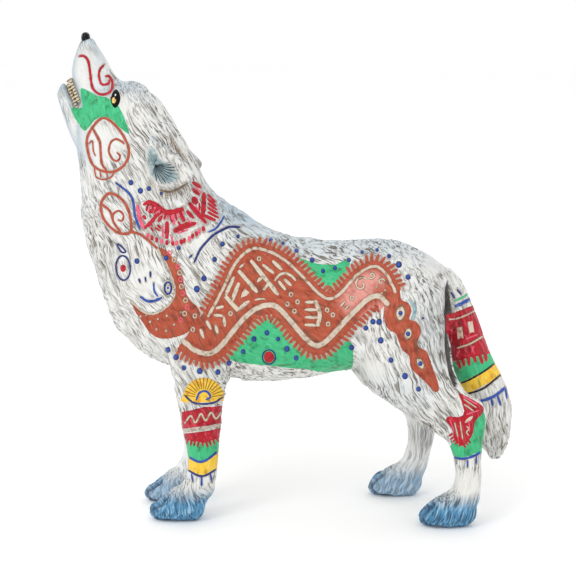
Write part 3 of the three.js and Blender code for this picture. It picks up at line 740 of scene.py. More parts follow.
def ear_edge_shade(draw):
    """Painted shade round the ear: brown hairs along the ear's upper edge, and a brown line along
    the fold below the ear with hairs under it.
    """
    for n in range(16):
        u, v = -35.2 + 0.44 * n, 44.6 - 0.76 * n
        reach = 2.2 + 0.9 * math.sin(2.1 * n)
        draw.line("umber", 0.24, [(u + 0.3, v + 0.5), (u + 0.75 + 0.1 * reach, v - reach)],
                  taper=(0.4, 0.2))
    fold = spline([(-37.8, 28.9), (-35, 28.3), (-32.2, 29.2), (-29.6, 30.9)], 0.5)
    draw.line("umber", 0.55, fold[::3], taper=(0.3, 0.3))
    for n, (u, v) in enumerate(fold[1:]):
        reach = 1.7 + 0.9 * math.sin(2.3 * n)
        draw.line("umber", 0.2, [(u, v - 0.2), (u + 0.16 * (u + 36), v - reach)], taper=(1, 0.2))


def make_drawing():
    draw = Drawing()
    for motif in (green_grounds, muzzle_and_cheek, moon_signs, throat_marks, collar, crescent_face,
                  serpent, serpent_signs, serpent_tail, blue_dots, front_leg_bands, hock_patch,
                  tail_bands, rump_fold_shade, ear_hairs, ear_edge_shade):
        draw.surface = "body"
        motif(draw)
    return draw


# ---------------------------------------------------------------- the fused skin

def node_solid(name):
    """A CAD node's vertices in millimetres, its triangles, and its vertex normals."""
    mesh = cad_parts[name].data
    mesh.calc_loop_triangles()
    co = np.array([v.co for v in mesh.vertices]) / MM
    tris = np.array([t.vertices for t in mesh.loop_triangles])
    _, first, same = np.unique(np.round(co, 3), axis=0, return_index=True, return_inverse=True)
    co, tris = co[first], same.ravel()[tris]
    return co, tris, vertex_normals(co, tris)


def vertex_normals(co, faces):
    """Unit normals at the vertices of triangles or quads."""
    a, b = co[faces[:, 0]], co[faces[:, 2]]
    c, d = co[faces[:, 1]], co[faces[:, -1]]
    flat = np.cross(b - a, d - c) if faces.shape[1] == 4 else np.cross(c - a, b - a)
    normal = np.zeros_like(co)
    for corner in faces.T:
        for axis in range(3):
            normal[:, axis] += np.bincount(corner, flat[:, axis], len(co))
    return normal / (np.linalg.norm(normal, axis=1)[:, None] + 1e-12)


def new_mesh(name, co, faces):
    mesh = bpy.data.meshes.new(name)
    mesh.from_pydata([tuple(p) for p in co], [], [tuple(f) for f in faces])
    mesh.update()
    return mesh


def new_object(name, data):
    thing = bpy.data.objects.new(name, data)
    bpy.context.scene.collection.objects.link(thing)
    return thing


def fuse():
    """The castings grown until they meet, remeshed as one skin of small quads."""
    points, faces, count = [], [], 0
    for name in CAST_NODES + FILLER_NODES:
        co, tris, normal = node_solid(name)
        points.append(co + GAP_FILL * normal)
        faces.append(tris + count)
        count += len(co)
    piece = new_object("fused", new_mesh("fused", np.vstack(points), np.vstack(faces).tolist()))
    remesh = piece.modifiers.new("remesh", "REMESH")
    remesh.mode = "VOXEL"
    remesh.voxel_size = VOXEL
    shaped = bpy.data.meshes.new_from_object(
        piece.evaluated_get(bpy.context.evaluated_depsgraph_get()))
    co = np.zeros(len(shaped.vertices) * 3)
    shaped.vertices.foreach_get("co", co)
    quads = np.zeros(len(shaped.loops), int)
    shaped.loops.foreach_get("vertex_index", quads)
    bpy.data.objects.remove(piece)
    return keep_outer(co.reshape(-1, 3), quads.reshape(-1, 4))


def edges_of(quads):
    pairs = np.vstack([quads[:, [k, (k + 1) % 4]] for k in range(4)])
    return np.unique(np.sort(pairs, axis=1), axis=0)


def keep_outer(co, quads):
    """Drops the small inner shells where a bore left a hollow."""
    edges = edges_of(quads)
    label = np.arange(len(co))
    while True:
        low = np.minimum(label[edges[:, 0]], label[edges[:, 1]])
        new = label.copy()
        np.minimum.at(new, edges[:, 0], low)
        np.minimum.at(new, edges[:, 1], low)
        new = new[new]
        if np.array_equal(new, label):
            break
        label = new
    keep = label == np.bincount(label).argmax()
    index = np.cumsum(keep) - 1
    return co[keep], index[quads[keep[quads].all(1)]]


def neighbour_mean(value, edges, degree):
    total = np.zeros_like(value)
    for axis in range(value.shape[1]):
        total[:, axis] = (np.bincount(edges[:, 0], value[edges[:, 1], axis], len(value))
                          + np.bincount(edges[:, 1], value[edges[:, 0], axis], len(value)))
    return total / degree[:, None]


def nearest_nodes(co):
    """For each skin point, the index in CAST_NODES of the casting that it belongs to."""
    best = np.full(len(co), 9.0)
    owner = np.zeros(len(co), int)
    margin = 1.5
    for index, name in enumerate(CAST_NODES):
        points, tris, _ = node_solid(name)
        tree = BVHTree.FromPolygons(points.tolist(), tris.tolist())
        near = np.all((co > points.min(0) - margin) & (co < points.max(0) + margin), axis=1)
        for i in np.flatnonzero(near):
            hit = tree.find_nearest(co[i], best[i])
            if hit[0] is not None and hit[3] < best[i]:
                best[i] = hit[3]
                owner[i] = index
    return owner


def flow_grid():
    """The fur's direction on a grid over x and z, with the grid's first corner."""
    x, z = (np.arange(CORNERS[0][k] - GRID_MARGIN, CORNERS[1][k] + GRID_MARGIN, GRID_STEP)
            for k in (0, 2))
    gx, gz = np.meshgrid(x, z, indexing="ij")
    total = np.zeros(gx.shape + (2,))
    for cx, cz, dx, dz in FUR_LIE:
        weight = np.exp(-((gx - cx) ** 2 + (gz - cz) ** 2) / (2 * FUR_SPREAD**2)) + 1e-9
        total += weight[..., None] * np.array([dx, dz])
    angle = np.arctan2(total[..., 1], total[..., 0])
    flat = np.stack([gx.ravel(), np.zeros(gx.size), gz.ravel()], 1)
    wander = lattice(flat / 8.0 + 20, 5) + 0.7 * lattice(flat / 3.6 + 50, 6)
    angle += FUR_WANDER * wander.reshape(gx.shape)
    return np.array([x[0], z[0]]), np.cos(angle), np.sin(angle)


def potential(gx, gz):
    """The grid of values whose slope follows the field (gx, gz) most closely."""
    n, m = gx.shape
    source = np.zeros((n, m))
    source[:-1] += gx[:-1]
    source[1:] -= gx[:-1]
    source[:, :-1] += gz[:, :-1]
    source[:, 1:] -= gz[:, :-1]
    even = np.block([[source, source[:, ::-1]], [source[::-1], source[::-1, ::-1]]])
    wave_x = 2 * np.cos(math.pi * np.arange(2 * n) / n) - 2
    wave_z = 2 * np.cos(math.pi * np.arange(2 * m) / m) - 2
    bend = wave_x[:, None] + wave_z[None]
    bend[0, 0] = 1
    return np.real(np.fft.ifft2(np.fft.fft2(even) / bend))[:n, :m] * GRID_STEP


def read_grid(table, corner, points):
    """The grid's value at each point's x and z, blended between cells."""
    place = (points[:, [0, 2]] - corner) / GRID_STEP
    cell = np.clip(place.astype(int), 0, np.array(table.shape) - 2)
    fx, fz = (place - cell).T
    i, k = cell.T
    return ((table[i, k] * (1 - fx) + table[i + 1, k] * fx) * (1 - fz)
            + (table[i, k + 1] * (1 - fx) + table[i + 1, k + 1] * fx) * fz)


def fur_lines(points):
    """Two coordinates for each point: across the hairs and along them, in millimetres."""
    corner, dx, dz = flow_grid()
    across = read_grid(potential(-dz, dx), corner, points) + FUR_WAVE * lattice(points / 1.9, 7)
    along = read_grid(potential(dx, dz), corner, points)
    return across, along


def strands(across, along, y, size, seed):
    """Noise drawn out along the fur, with a mean of 0 and a spread of 1."""
    value = lattice(np.stack([across / size[0], along / size[1], y / size[2]], 1) + 31, seed)
    return (value - value.mean()) / value.std()


class Skin:
    """The fused surface: places, faces, owners and the values that the materials read."""

    def __init__(self, draw):
        self.co, self.quads = fuse()
        self.edges = edges_of(self.quads)
        self.degree = np.bincount(self.edges.ravel(), minlength=len(self.co))
        self.owner = nearest_nodes(self.co)
        self.far_ear = self.owner == CAST_NODES.index("ear_right")
        self.values = {}
        self.relax()
        self.smooth_normal = vertex_normals(self.co, self.quads)
        self.co -= (GAP_FILL - SKIN_PROUD) * self.smooth_normal
        self.paint(draw)
        self.carve()
        self.normal = vertex_normals(self.co, self.quads)

    def owned(self, *kinds):
        """Which points belong to nodes of these kinds, whichever their flank."""
        ids = [i for i, name in enumerate(CAST_NODES)
               if name.rsplit("_left", 1)[0].rsplit("_right", 1)[0] in kinds]
        return np.isin(self.owner, ids)

    def relax(self):
        """Melts the facets away, less where the form is fine."""
        x, _, z = self.co.T
        fine = self.owned("ear", "lower_jaw") | (self.owned("head") & (x < -52)) | (z < 9)
        weight = np.where(fine, MELT_FINE, MELT)[:, None]
        for _ in range(6):
            weight = neighbour_mean(weight, self.edges, self.degree)
        for _ in range(SMOOTH_ROUNDS):
            mean = neighbour_mean(self.co, self.edges, self.degree)
            self.co += weight * (mean - self.co)

    def paint(self, draw):
        """Distances into each fill, and the distance to the nearest stroke."""
        count = len(self.co)
        for paint in FILLS:
            self.values[paint] = np.full(count, -FAR)
        self.values["mark"] = np.full(count, FAR)
        for side in SIDES:
            for surface, kinds in SURFACES.items():
                picked = np.flatnonzero(self.owned(*kinds) & (self.co[:, 1] * side > 0))
                place = mirrored(self.co[picked], side, surface, -1)
                normal = self.smooth_normal[picked] * (1 if side == LEFT else FLIP)
                facing = TAIL_FACING if surface == "tail" else FACING
                seen = np.sum(normal * (EYE - place), 1) > facing * EYE_DISTANCE
                if surface == "tail":
                    rump = self.owner[picked] == CAST_NODES.index("torso")
                    seen &= ~rump | (np.abs(place[:, 1]) < TAIL_REACH + TAIL_FILL_MARGIN)
                picked, uv = picked[seen], to_sheet(place[seen])
                self.fill_values(draw, surface, picked, uv)
                self.mark_values(draw, surface, picked, uv)

    def fill_values(self, draw, surface, picked, uv):
        for where, paint, outline, half in draw.fills:
            if where != surface:
                continue
            depth = inside_by(uv, outline) if half is None else near_line(uv, outline, half)
            self.values[paint][picked] = np.maximum(self.values[paint][picked], depth)

    def mark_values(self, draw, surface, picked, uv):
        marks = [(p, s[3] / 2) for s in draw.strokes if s[0] == surface for p in s[2][::2]]
        marks += [(s[2].mean(0), 0.6) for s in draw.spots if s[0] == surface]
        tree = KDTree(len(marks))
        for i, (p, _) in enumerate(marks):
            tree.insert((p[0], p[1], 0), i)
        tree.balance()
        gap = np.array([d - marks[i][1] for _, i, d in (tree.find((u, v, 0)) for u, v in uv)])
        self.values["mark"][picked] = np.minimum(self.values["mark"][picked], gap)

    def carve(self):
        """Cuts the fur, the toes and the fold, and lifts the painted grounds."""
        x, y, z = self.co.T
        v = self.values
        across, along = fur_lines(self.co)
        locks = strands(across, along, y, LOCK_SIZE, 11)
        hair = strands(across, along, y, HAIR_SIZE, 12)
        self.painted = np.max([ramp(v[p], -0.3, 0.3) for p in GROUNDS], axis=0)
        clear = 1 - PAINT_HIDES + PAINT_HIDES * ramp(v["mark"], 0, 0.7)
        bare = (1 - PAINT_HIDES * self.painted) * clear
        muzzle = self.owned("head", "lower_jaw") * ramp(-x, 50, 55)
        paws = ramp(-z, -9, -5)
        soft = 1 - 0.8 * np.maximum(np.maximum(muzzle, 0.6 * paws), 0.7 * self.owned("ear"))
        ruff = 1 + 0.6 * ramp(-x, 38, 52) * ramp(z, 38, 48) * ramp(-z, -112, -100)
        plain = np.max([np.exp(-(((x - px) ** 2 + (z - pz) ** 2) / reach**2) ** 2)
                        for px, pz, reach in PLAIN], axis=0)
        amount = bare * soft * ruff * (1 - PLAIN_HIDES * plain)
        groove = ramp(-hair, 0.35, 1.5)
        lift = amount * (LOCK_HEIGHT * np.clip(locks, -1.8, 1.5) - GROOVE_DEPTH * groove)
        lift += (PLATE_RISE * ramp(v["rust"], -0.15, 0.2)
                 - LINE_SINK * ramp(v["cream"], -0.15, 0.2))
        lift -= MARK_RIM_DEPTH * ramp(-np.abs(v["mark"] - 0.15), -0.4, 0)
        for cx, cz, reach, rise in SWELLS:
            lift += rise * np.exp(-((x - cx) ** 2 + (z - cz) ** 2) / reach**2)
        v["toe"], back = self.toe_forms()
        lift -= (TOE_DEPTH * v["toe"] + TOE_BACK * back
                 + CREASE_DEPTH * ramp(v["shaded_fold"], -0.5, 0.3))
        self.co = self.co + lift[:, None] * self.smooth_normal
        self.co[:, 0] += EAR_SWING * self.far_ear * np.maximum(0, EAR_ROOT_Z - z)
        mean = neighbour_mean(self.co, self.edges, self.degree)
        cavity = np.sum((mean - self.co) * self.smooth_normal, 1)[:, None]
        for _ in range(2):
            cavity = neighbour_mean(cavity, self.edges, self.degree)
        scratches = MUZZLE_SCRATCHES * bare * muzzle * (1 - PLAIN_HIDES * plain)
        v.update(locks=locks, hair=hair, across=across, along=along,
                 furry=np.maximum(amount, scratches), cavity=cavity[:, 0] / CAVITY_UNIT)
        self.tint()

    def tint(self):
        """Where the blue paws, the painted light on the inner legs, the blue-grey tint, and the
        brown wash and painted shade go.
        """
        x, y, z = self.co.T
        v = self.values
        up = self.smooth_normal[:, 2]
        front = -self.smooth_normal[:, 0]
        v["paw"] = ramp(-z, -11.5, -5.5) * (~self.owned("torso", "head"))
        # Painted light: the inner sides of the lower legs, which lie in shade, are lightened.
        inner = ramp(np.sign(y) * self.smooth_normal[:, 1], 0.2, -0.5)
        v["painted_light"] = inner * ramp(-z, -48, -36) * self.owned("front_leg", "hind_leg")
        # Blue-grey tint: on up-facing surfaces of the back, nape and muzzle ridge, on the front of
        # the chest, and in spots on the haunch and thigh.
        back = 0.7 * ramp(up, 0.35, 0.95) * ramp(z, 70, 85)
        chest = 0.25 * ramp(front, 0.75, 1) * ramp(z, 40, 55)
        nape = 0.5 * ramp(-np.abs(x + 14), -16, 0) * ramp(up, 0.2, 0.8) * ramp(z, 84, 90)
        haunch = 0.35 * np.exp(-((x - 41) / 7) ** 2 - ((z - 58) / 12) ** 2)
        thigh = 0.3 * np.exp(-((x - 32) / 9) ** 2 - ((z - 40) / 6) ** 2)
        ridge = np.maximum(ramp(front, 0.3, 0.95), ramp(up, 0, 0.6))
        muzzle = 0.75 * ramp(-x, 50, 56) * ramp(z, 100, 108) * ridge
        v["blue_grey"] = np.clip(back + chest + nape + haunch + thigh + muzzle, 0, 1)
        v["deep_wash_and_shade"] = self.deep_wash_and_shade()
        v["painted_light"] *= (1 - 0.45 * v["paw"]) * (1 - 0.8 * v["deep_wash_and_shade"])

    def toe_forms(self):
        """The clefts at the front of each paw, and how far each outer toe stands back."""
        clefts, back = np.zeros((2, len(self.co)))
        x, y, z = self.co.T
        for name in LEG_NODES:
            own = self.owner == CAST_NODES.index(name)
            foot = self.co[own & (z < 4)]
            out = np.abs(y - (foot[:, 1].min() + foot[:, 1].max()) / 2)
            ahead = own * ramp(foot[:, 0].min() - x, -8, -5) * ramp(-z, -9, -6.5)
            for cut in (0, TOE_PITCH):
                groove = np.exp(-(((out - cut) / TOE_CLEFT_WIDTH) ** 2))
                clefts = np.maximum(clefts, ahead * groove)
            back += ahead * ramp(out, TOE_PITCH, TOE_PITCH + 0.5)
        return clefts, back

    def deep_wash_and_shade(self):
        """Deep brown wash and painted shade in the listed spots, and a painted shadow at the far
        ear's tip, but not on the grounds.
        """
        x, y, z = self.co.T
        total = np.zeros(len(x))
        for cx, cy, cz, wide, tall, strength in DEEP_WASH_AND_SHADE_SPOTS:
            away = (((x - cx) / wide) ** 2 + ((np.abs(y) - cy) / DEEP_WASH_AND_SHADE_REACH) ** 2
                    + ((z - cz) / tall) ** 2)
            total = np.maximum(total, strength * np.exp(-away))
        # Painted shadow on the back-facing side of the far ear's tip.
        far_ear_tip_shade = self.far_ear * ramp(self.smooth_normal[:, 0], -0.2, 0.5) * ramp(-z, -110, -102)
        return np.maximum(total, 0.6 * far_ear_tip_shade) * (1 - 0.8 * self.painted)


# ---------------------------------------------------------------- thick paint

class Canvas:
    """One drawing surface on one flank, held where the left flank would have it."""

    def __init__(self, skin, surface, side):
        self.surface, self.side = surface, side
        picked = skin.owned(*SURFACES[surface]) & (skin.co[:, 1] * side > -2)
        quads = skin.quads[picked[skin.quads].all(1)]
        place = mirrored(skin.co, side, surface, -1)
        self.normal = skin.smooth_normal * (1 if side == LEFT else FLIP)
        self.quads = quads
        self.tree = BVHTree.FromPolygons(place.tolist(), quads.tolist())

    def cast(self, uv):
        """Where the sight lines through these sheet places meet the surface, with its normals."""
        spots, normals = [], []
        for u, v in uv:
            aim = Vector(TARGET + u * ACROSS + v * UP - EYE).normalized()
            hit, _, face, _ = self.tree.ray_cast(Vector(EYE), aim)
            if hit is None or self.surface == "tail" and abs(hit.y) > TAIL_REACH:
                spots.append((np.nan,) * 3)
                normals.append((0.0, -1.0, 0.0))
                continue
            spots.append(tuple(hit))
            normals.append(self.normal[self.quads[face]].mean(0))
        return np.array(spots), np.array(normals)

    def home(self, points):
        """The drawn points, back on this canvas's own flank."""
        return mirrored(points, self.side, self.surface, 1)


class PaintStock:
    """Collects the thick paint, one mesh per colour."""

    def __init__(self):
        self.points, self.faces = {}, {}

    def add(self, paint, points, faces, flip):
        held = self.points.setdefault(paint, [])
        start = sum(len(p) for p in held)
        faces = np.array(faces) + start
        held.append(points)
        self.faces.setdefault(paint, []).extend((faces[:, ::-1] if flip else faces).tolist())

    def mesh(self, paint):
        return np.vstack(self.points[paint]), self.faces[paint]


# A stroke's cross section and a dome's profile: place from the middle out, and height.
STROKE_PROFILE = ((-1.0, -0.1), (-0.72, 0.55), (-0.3, 0.95), (0.3, 0.95), (0.72, 0.55), (1.0, -0.1))
DOME_PROFILE = ((1.0, -0.2), (1.0, 0.25), (0.86, 0.62), (0.6, 0.9), (0.3, 1.0))


def rows_of_quads(rows, size):
    """The quads between closed rows of points, each row size points long."""
    return [(a + j, a + (j + 1) % size, a + size + (j + 1) % size, a + size + j)
            for a in range(0, (rows - 1) * size, size) for j in range(size)]


def lay_stroke(stock, canvas, paint, path, width, taper):
    """A rounded ribbon of paint along the path, thinner towards its ends."""
    height = THIN_RISE.get(paint, STROKE_RISE)
    count = len(path)
    t = np.linspace(0, 1, count)
    reach = min(0.35, 1.2 * width / (np.linalg.norm(np.diff(path, axis=0), axis=1).sum() + 1e-6))
    swell = np.minimum(taper[0] + (1 - taper[0]) * np.clip(t / reach, 0, 1) ** 0.6,
                       taper[1] + (1 - taper[1]) * np.clip((1 - t) / reach, 0, 1) ** 0.6)
    wobble = 1 + 0.09 * np.sin(path[:, 0] * 2.3 + path[:, 1] * 3.1)
    half = width / 2 * swell * wobble
    side = side_of(path)
    rails = [canvas.cast(path + (s * half)[:, None] * side) for s, _ in STROKE_PROFILE]
    place = np.stack([spot + (height * rise) * normal
                      for (spot, normal), (_, rise) in zip(rails, STROKE_PROFILE)], 1)
    good = ~np.isnan(place).any((1, 2)) & no_jump(place[:, 2])
    for run in unbroken(good):
        lay_run(stock, canvas, paint, place[run], rails, run)


def no_jump(spots):
    """False where a sample falls off an edge onto something further back."""
    depth = spots @ BACK
    return ~(np.abs(np.diff(depth, prepend=depth[:1])) > LARGEST_DROP)


def unbroken(good):
    """Runs of two or more samples that all met the surface."""
    runs, current = [], []
    for i, ok in enumerate(good):
        if ok:
            current.append(i)
        elif current:
            runs.append(current)
            current = []
    runs.append(current)
    return [run for run in runs if len(run) > 1]


def lay_run(stock, canvas, paint, place, rails, run):
    """Closes a ribbon with an underside sunk in the surface and an end cap at each end."""
    sunk = np.stack([spots[run] - PAINT_ROOT * normals[run]
                     for spots, normals in (rails[-1], rails[0])], 1)
    ring = np.concatenate([place, sunk], 1)
    count, size = ring.shape[:2]
    faces = rows_of_quads(count, size)
    for start, turn in ((0, 1), ((count - 1) * size, -1)):
        for j in range(0, size - 2, 2):
            cap = (start, start + (j + 3) % size, start + j + 2, start + j + 1)
            faces.append(cap[::turn])
    stock.add(paint, canvas.home(ring.reshape(-1, 3)), faces, canvas.side == RIGHT)


def lay_spot(stock, canvas, paint, outline, rise):
    """A dome of paint inside an outline, closed by a rim sunk in the surface."""
    centre = outline.mean(0)
    count = len(outline)
    rings = [centre + r * (outline - centre) for r, _ in DOME_PROFILE]
    spots, normals = canvas.cast(np.vstack(rings + [centre[None]]))
    if np.isnan(spots).any():
        return
    lift = np.append(np.repeat([h for _, h in DOME_PROFILE], count), 1.0) * rise
    lift[:count] = -PAINT_ROOT
    place = spots + lift[:, None] * normals
    faces = rows_of_quads(len(rings), count)
    last = len(rings) * count
    top = last - count
    for i in range(count):
        k = (i + 1) % count
        faces.append((top + i, top + k, last, last))
        faces.append((k, i, last + 1, last + 1))
    place = np.vstack([place, place[:count].mean(0)])
    stock.add(paint, canvas.home(place), faces, canvas.side == RIGHT)


def lay_paint(skin, draw):
    """Carries every stroke and spot of the drawing onto both flanks."""
    stock = PaintStock()
    for side in SIDES:
        canvases = {name: Canvas(skin, name, side) for name in SURFACES}
        for surface, paint, path, width, taper in draw.strokes:
            lay_stroke(stock, canvases[surface], paint, path, width, taper)
        for surface, paint, outline, rise in draw.spots:
            lay_spot(stock, canvases[surface], paint, outline, rise)
    return stock


# ---------------------------------------------------------------- materials

class Shader:
    """A material whose nodes are added by short calls."""

    def __init__(self, name, **sockets):
        self.material = bpy.data.materials.new(name)
        self.material.use_nodes = True
        self.nodes = self.material.node_tree.nodes
        self.links = self.material.node_tree.links
        self.surface = self.nodes["Principled BSDF"]
        for socket, value in sockets.items():
            self.surface.inputs[socket.replace("_", " ")].default_value = value

    def put(self, value, socket):
        if isinstance(value, bpy.types.NodeSocket):
            self.links.new(value, socket)
        elif isinstance(value, tuple) and len(value) == 3 and socket.type == "RGBA":
            socket.default_value = value + (1.0,)
        else:
            socket.default_value = value

    def value(self, name):
        node = self.nodes.new("ShaderNodeAttribute")
        node.attribute_name = name
        return node.outputs["Fac"]

    def noise(self, scale, detail=3.0, rough=0.55):
        node = self.nodes.new("ShaderNodeTexNoise")
        node.inputs["Scale"].default_value = scale
        node.inputs["Detail"].default_value = detail
        node.inputs["Roughness"].default_value = rough
        self.links.new(self.place(), node.inputs["Vector"])
        return node.outputs["Fac"]

    def place(self):
        return self.nodes.new("ShaderNodeTexCoord").outputs["Object"]

    def split_place(self):
        split = self.nodes.new("ShaderNodeSeparateXYZ")
        self.links.new(self.place(), split.inputs[0])
        return split.outputs

    def strands(self, size, detail=2.0):
        """Noise in the fur's own coordinates, so that it draws fine hairs."""
        node = self.nodes.new("ShaderNodeTexNoise")
        node.inputs["Scale"].default_value = 1.0
        node.inputs["Detail"].default_value = detail
        join = self.nodes.new("ShaderNodeCombineXYZ")
        self.put(self.math("DIVIDE", self.value("across"), size[0]), join.inputs["X"])
        self.put(self.math("DIVIDE", self.value("along"), size[1]), join.inputs["Y"])
        self.put(self.times(self.split_place()["Y"], 1 / (size[2] * MM)), join.inputs["Z"])
        self.links.new(join.outputs[0], node.inputs["Vector"])
        return node.outputs["Fac"]

    def stripes(self, pitch):
        """Slanting dark lines a pitch apart going up, in millimetres."""
        place = self.split_place()
        slant = self.math("ADD", place["Z"], self.times(place["X"], -0.6))
        turn = self.times(slant, 2 * math.pi / (pitch * MM))
        return self.ramp(self.math("SINE", turn), 0.05, 0.6)

    def times(self, a, b):
        return self.math("MULTIPLY", a, b)

    def math(self, kind, a, b=0.0):
        node = self.nodes.new("ShaderNodeMath")
        node.operation = kind
        self.put(a, node.inputs[0])
        self.put(b, node.inputs[1])
        return node.outputs[0]

    def ramp(self, value, low, high, out_low=0.0, out_high=1.0):
        node = self.nodes.new("ShaderNodeMapRange")
        node.interpolation_type = "SMOOTHSTEP"
        for socket, number in (("From Min", low), ("From Max", high), ("To Min", out_low),
                               ("To Max", out_high)):
            node.inputs[socket].default_value = number
        self.put(value, node.inputs["Value"])
        return node.outputs[0]

    def mix(self, amount, a, b):
        node = self.nodes.new("ShaderNodeMix")
        node.data_type = "RGBA"
        colours = [s for s in node.inputs if s.type == "RGBA"]
        self.put(amount, node.inputs[0])
        self.put(a, colours[0])
        self.put(b, colours[1])
        return next(s for s in node.outputs if s.type == "RGBA")

    def bump(self, height, strength, distance):
        node = self.nodes.new("ShaderNodeBump")
        node.inputs["Strength"].default_value = strength
        node.inputs["Distance"].default_value = distance * MM
        self.put(height, node.inputs["Height"])
        self.links.new(node.outputs[0], self.surface.inputs["Normal"])

    def finish(self, colour, roughness=None):
        self.put(colour, self.surface.inputs["Base Color"])
        if roughness is not None:
            self.put(roughness, self.surface.inputs["Roughness"])
        return self.material


def srgb(red, green, blue):
    """A screen colour, 0 to 255, as the shader's linear colour."""
    def linear(c):
        c /= 255
        return c / 12.92 if c < 0.04045 else ((c + 0.055) / 1.055) ** 2.4
    return tuple(linear(c) for c in (red, green, blue))


# Each thick paint and painted ground: its body colour, then a darker and a lighter one.
COLOURS = {
    "rust": ((172, 78, 54), (142, 58, 38), (194, 104, 78)),
    "green": ((62, 182, 124), (36, 148, 94), (94, 198, 146)),
    "red": ((178, 20, 38), (130, 10, 26), (220, 92, 108)),
    "pink": ((226, 96, 122), (196, 50, 84), (244, 168, 178)),
    "yellow": ((238, 196, 60), (214, 150, 36), (246, 216, 110)),
    "ochre": ((150, 104, 30), (110, 74, 26), (190, 140, 50)),
    "cream": ((206, 192, 174), (146, 122, 100), (230, 224, 212)),
    "blue": ((42, 78, 160), (26, 46, 112), (96, 130, 200)),
    "navy": ((32, 50, 112), (18, 30, 78), (60, 84, 150)),
    "teal": ((134, 178, 186), (96, 142, 152), (176, 206, 208)),
    "shadow": ((128, 100, 76), (96, 72, 54), (160, 132, 104)),
    "umber": ((122, 102, 80), (92, 74, 58), (152, 132, 108)),
    "slate": ((104, 126, 132), (70, 90, 96), (140, 160, 164)),
    "black": ((22, 24, 34), (12, 12, 20), (50, 54, 66)),
}
WHITE = (229, 232, 233)
WHITE_WARM = (220, 216, 206)
# Brown of the wash in the grooves, also laid as painted shade in the hollows.
WASH_AND_HOLLOW_SHADE = (92, 80, 66)
WASH_DEEP_AND_SHADE = (78, 65, 52)
HALO = (126, 106, 88)
FRINGE_GAP = (176, 150, 132)
BLUE_GREY = (150, 174, 190)
# Near-black painted shade for the fold between the haunch and the tail.
FOLD_SHADE = (30, 23, 20)
PAW_BLUE = (66, 136, 178)
PAW_LIGHT = (172, 200, 216)
PAW_DARK = (48, 78, 104)
ANKLE_SMUDGE = (92, 96, 98)
TOE_CLEFT_SHADE = (54, 66, 92)
PAINTED_LIGHT_LEG = (240, 243, 246)
EAR_TEAL = (122, 150, 154)
EAR_LIGHT = (168, 186, 188)
BLUSH = (226, 158, 148)


def brushed(shader, name, scale=700.0):
    """A paint colour with darker and lighter brush patches."""
    body, dark, light = (srgb(*c) for c in COLOURS[name])
    patch = shader.noise(scale, 4.0)
    colour = shader.mix(shader.ramp(patch, 0.5, 0.3), body, dark)
    gleam = shader.ramp(shader.noise(scale * 1.9, 2.0), 0.62, 0.78, 0.0, 0.7)
    return shader.mix(gleam, colour, light)


def flecked(name, first, second, scale, **sockets):
    """A material that wanders between two colours."""
    shader = Shader(name, **sockets)
    return shader.finish(shader.mix(shader.noise(scale), srgb(*first), srgb(*second)))


def paint_material(name):
    shader = Shader(f"paint {name}", Roughness=0.3, Specular_IOR_Level=0.3)
    shader.bump(shader.noise(2600.0), 0.25, 0.12)
    return shader.finish(brushed(shader, name))


def skin_colour(shader):
    """White ground, blue-grey tint, brown wash in the grooves and round the marks, and painted
    shade in the hollows, the wash spots and the fold.
    """
    patchy = shader.ramp(shader.noise(75.0, 3.0), 0.36, 0.66)
    furry = shader.ramp(shader.value("furry"), 0.05, 0.6)
    groove = shader.ramp(shader.value("hair"), -1.1, -1.7)
    fine = shader.ramp(shader.strands(FINE_HAIR), 0.435, 0.375)
    low = shader.ramp(shader.value("locks"), -0.7, -1.7)
    # Painted shade: the brown wash colour is laid deeper in the concave hollows of the carving.
    hollow_shade = shader.ramp(shader.value("cavity"), 0.15, 1.3)
    wash_and_hollow_shade = shader.times(groove, shader.ramp(patchy, 0, 1, 0.3, 0.7))
    fine = shader.times(fine, shader.ramp(patchy, 0, 1, 0.45, 0.95))
    wash_and_hollow_shade = shader.math("ADD", wash_and_hollow_shade, fine)
    wash_and_hollow_shade = shader.math("ADD", wash_and_hollow_shade, shader.times(low, 0.12))
    wash_and_hollow_shade = shader.times(wash_and_hollow_shade, furry)
    wash_and_hollow_shade = shader.math("ADD", wash_and_hollow_shade, shader.times(hollow_shade, 0.3))
    ground = shader.mix(shader.noise(220.0), srgb(*WHITE), srgb(*WHITE_WARM))
    blue_grey = shader.times(shader.value("blue_grey"), 0.75)
    colour = shader.mix(blue_grey, ground, srgb(*BLUE_GREY))
    colour = shader.mix(shader.math("MINIMUM", wash_and_hollow_shade, 0.88), colour, srgb(*WASH_AND_HOLLOW_SHADE))
    halo = shader.ramp(shader.value("mark"), 0.38, 0.05)
    halo = shader.times(halo, shader.ramp(shader.noise(500.0), 0.35, 0.6, 0.1, 0.6))
    colour = shader.mix(halo, colour, srgb(*HALO))
    streak = shader.ramp(shader.strands(HAIR_SIZE), 0.56, 0.42, 0.1, 0.95)
    # Spots of brown wash and painted shade, laid as deep brown streaks along the fur.
    deep_wash_and_shade = shader.times(shader.value("deep_wash_and_shade"), streak)
    colour = shader.mix(deep_wash_and_shade, colour, srgb(*WASH_DEEP_AND_SHADE))
    # Painted shade: the fold between the haunch and the tail is laid near-black.
    shaded_fold = shader.ramp(shader.value("shaded_fold"), -0.4, 0.2, 0.0, 0.92)
    return shader.mix(shaded_fold, colour, srgb(*FOLD_SHADE))


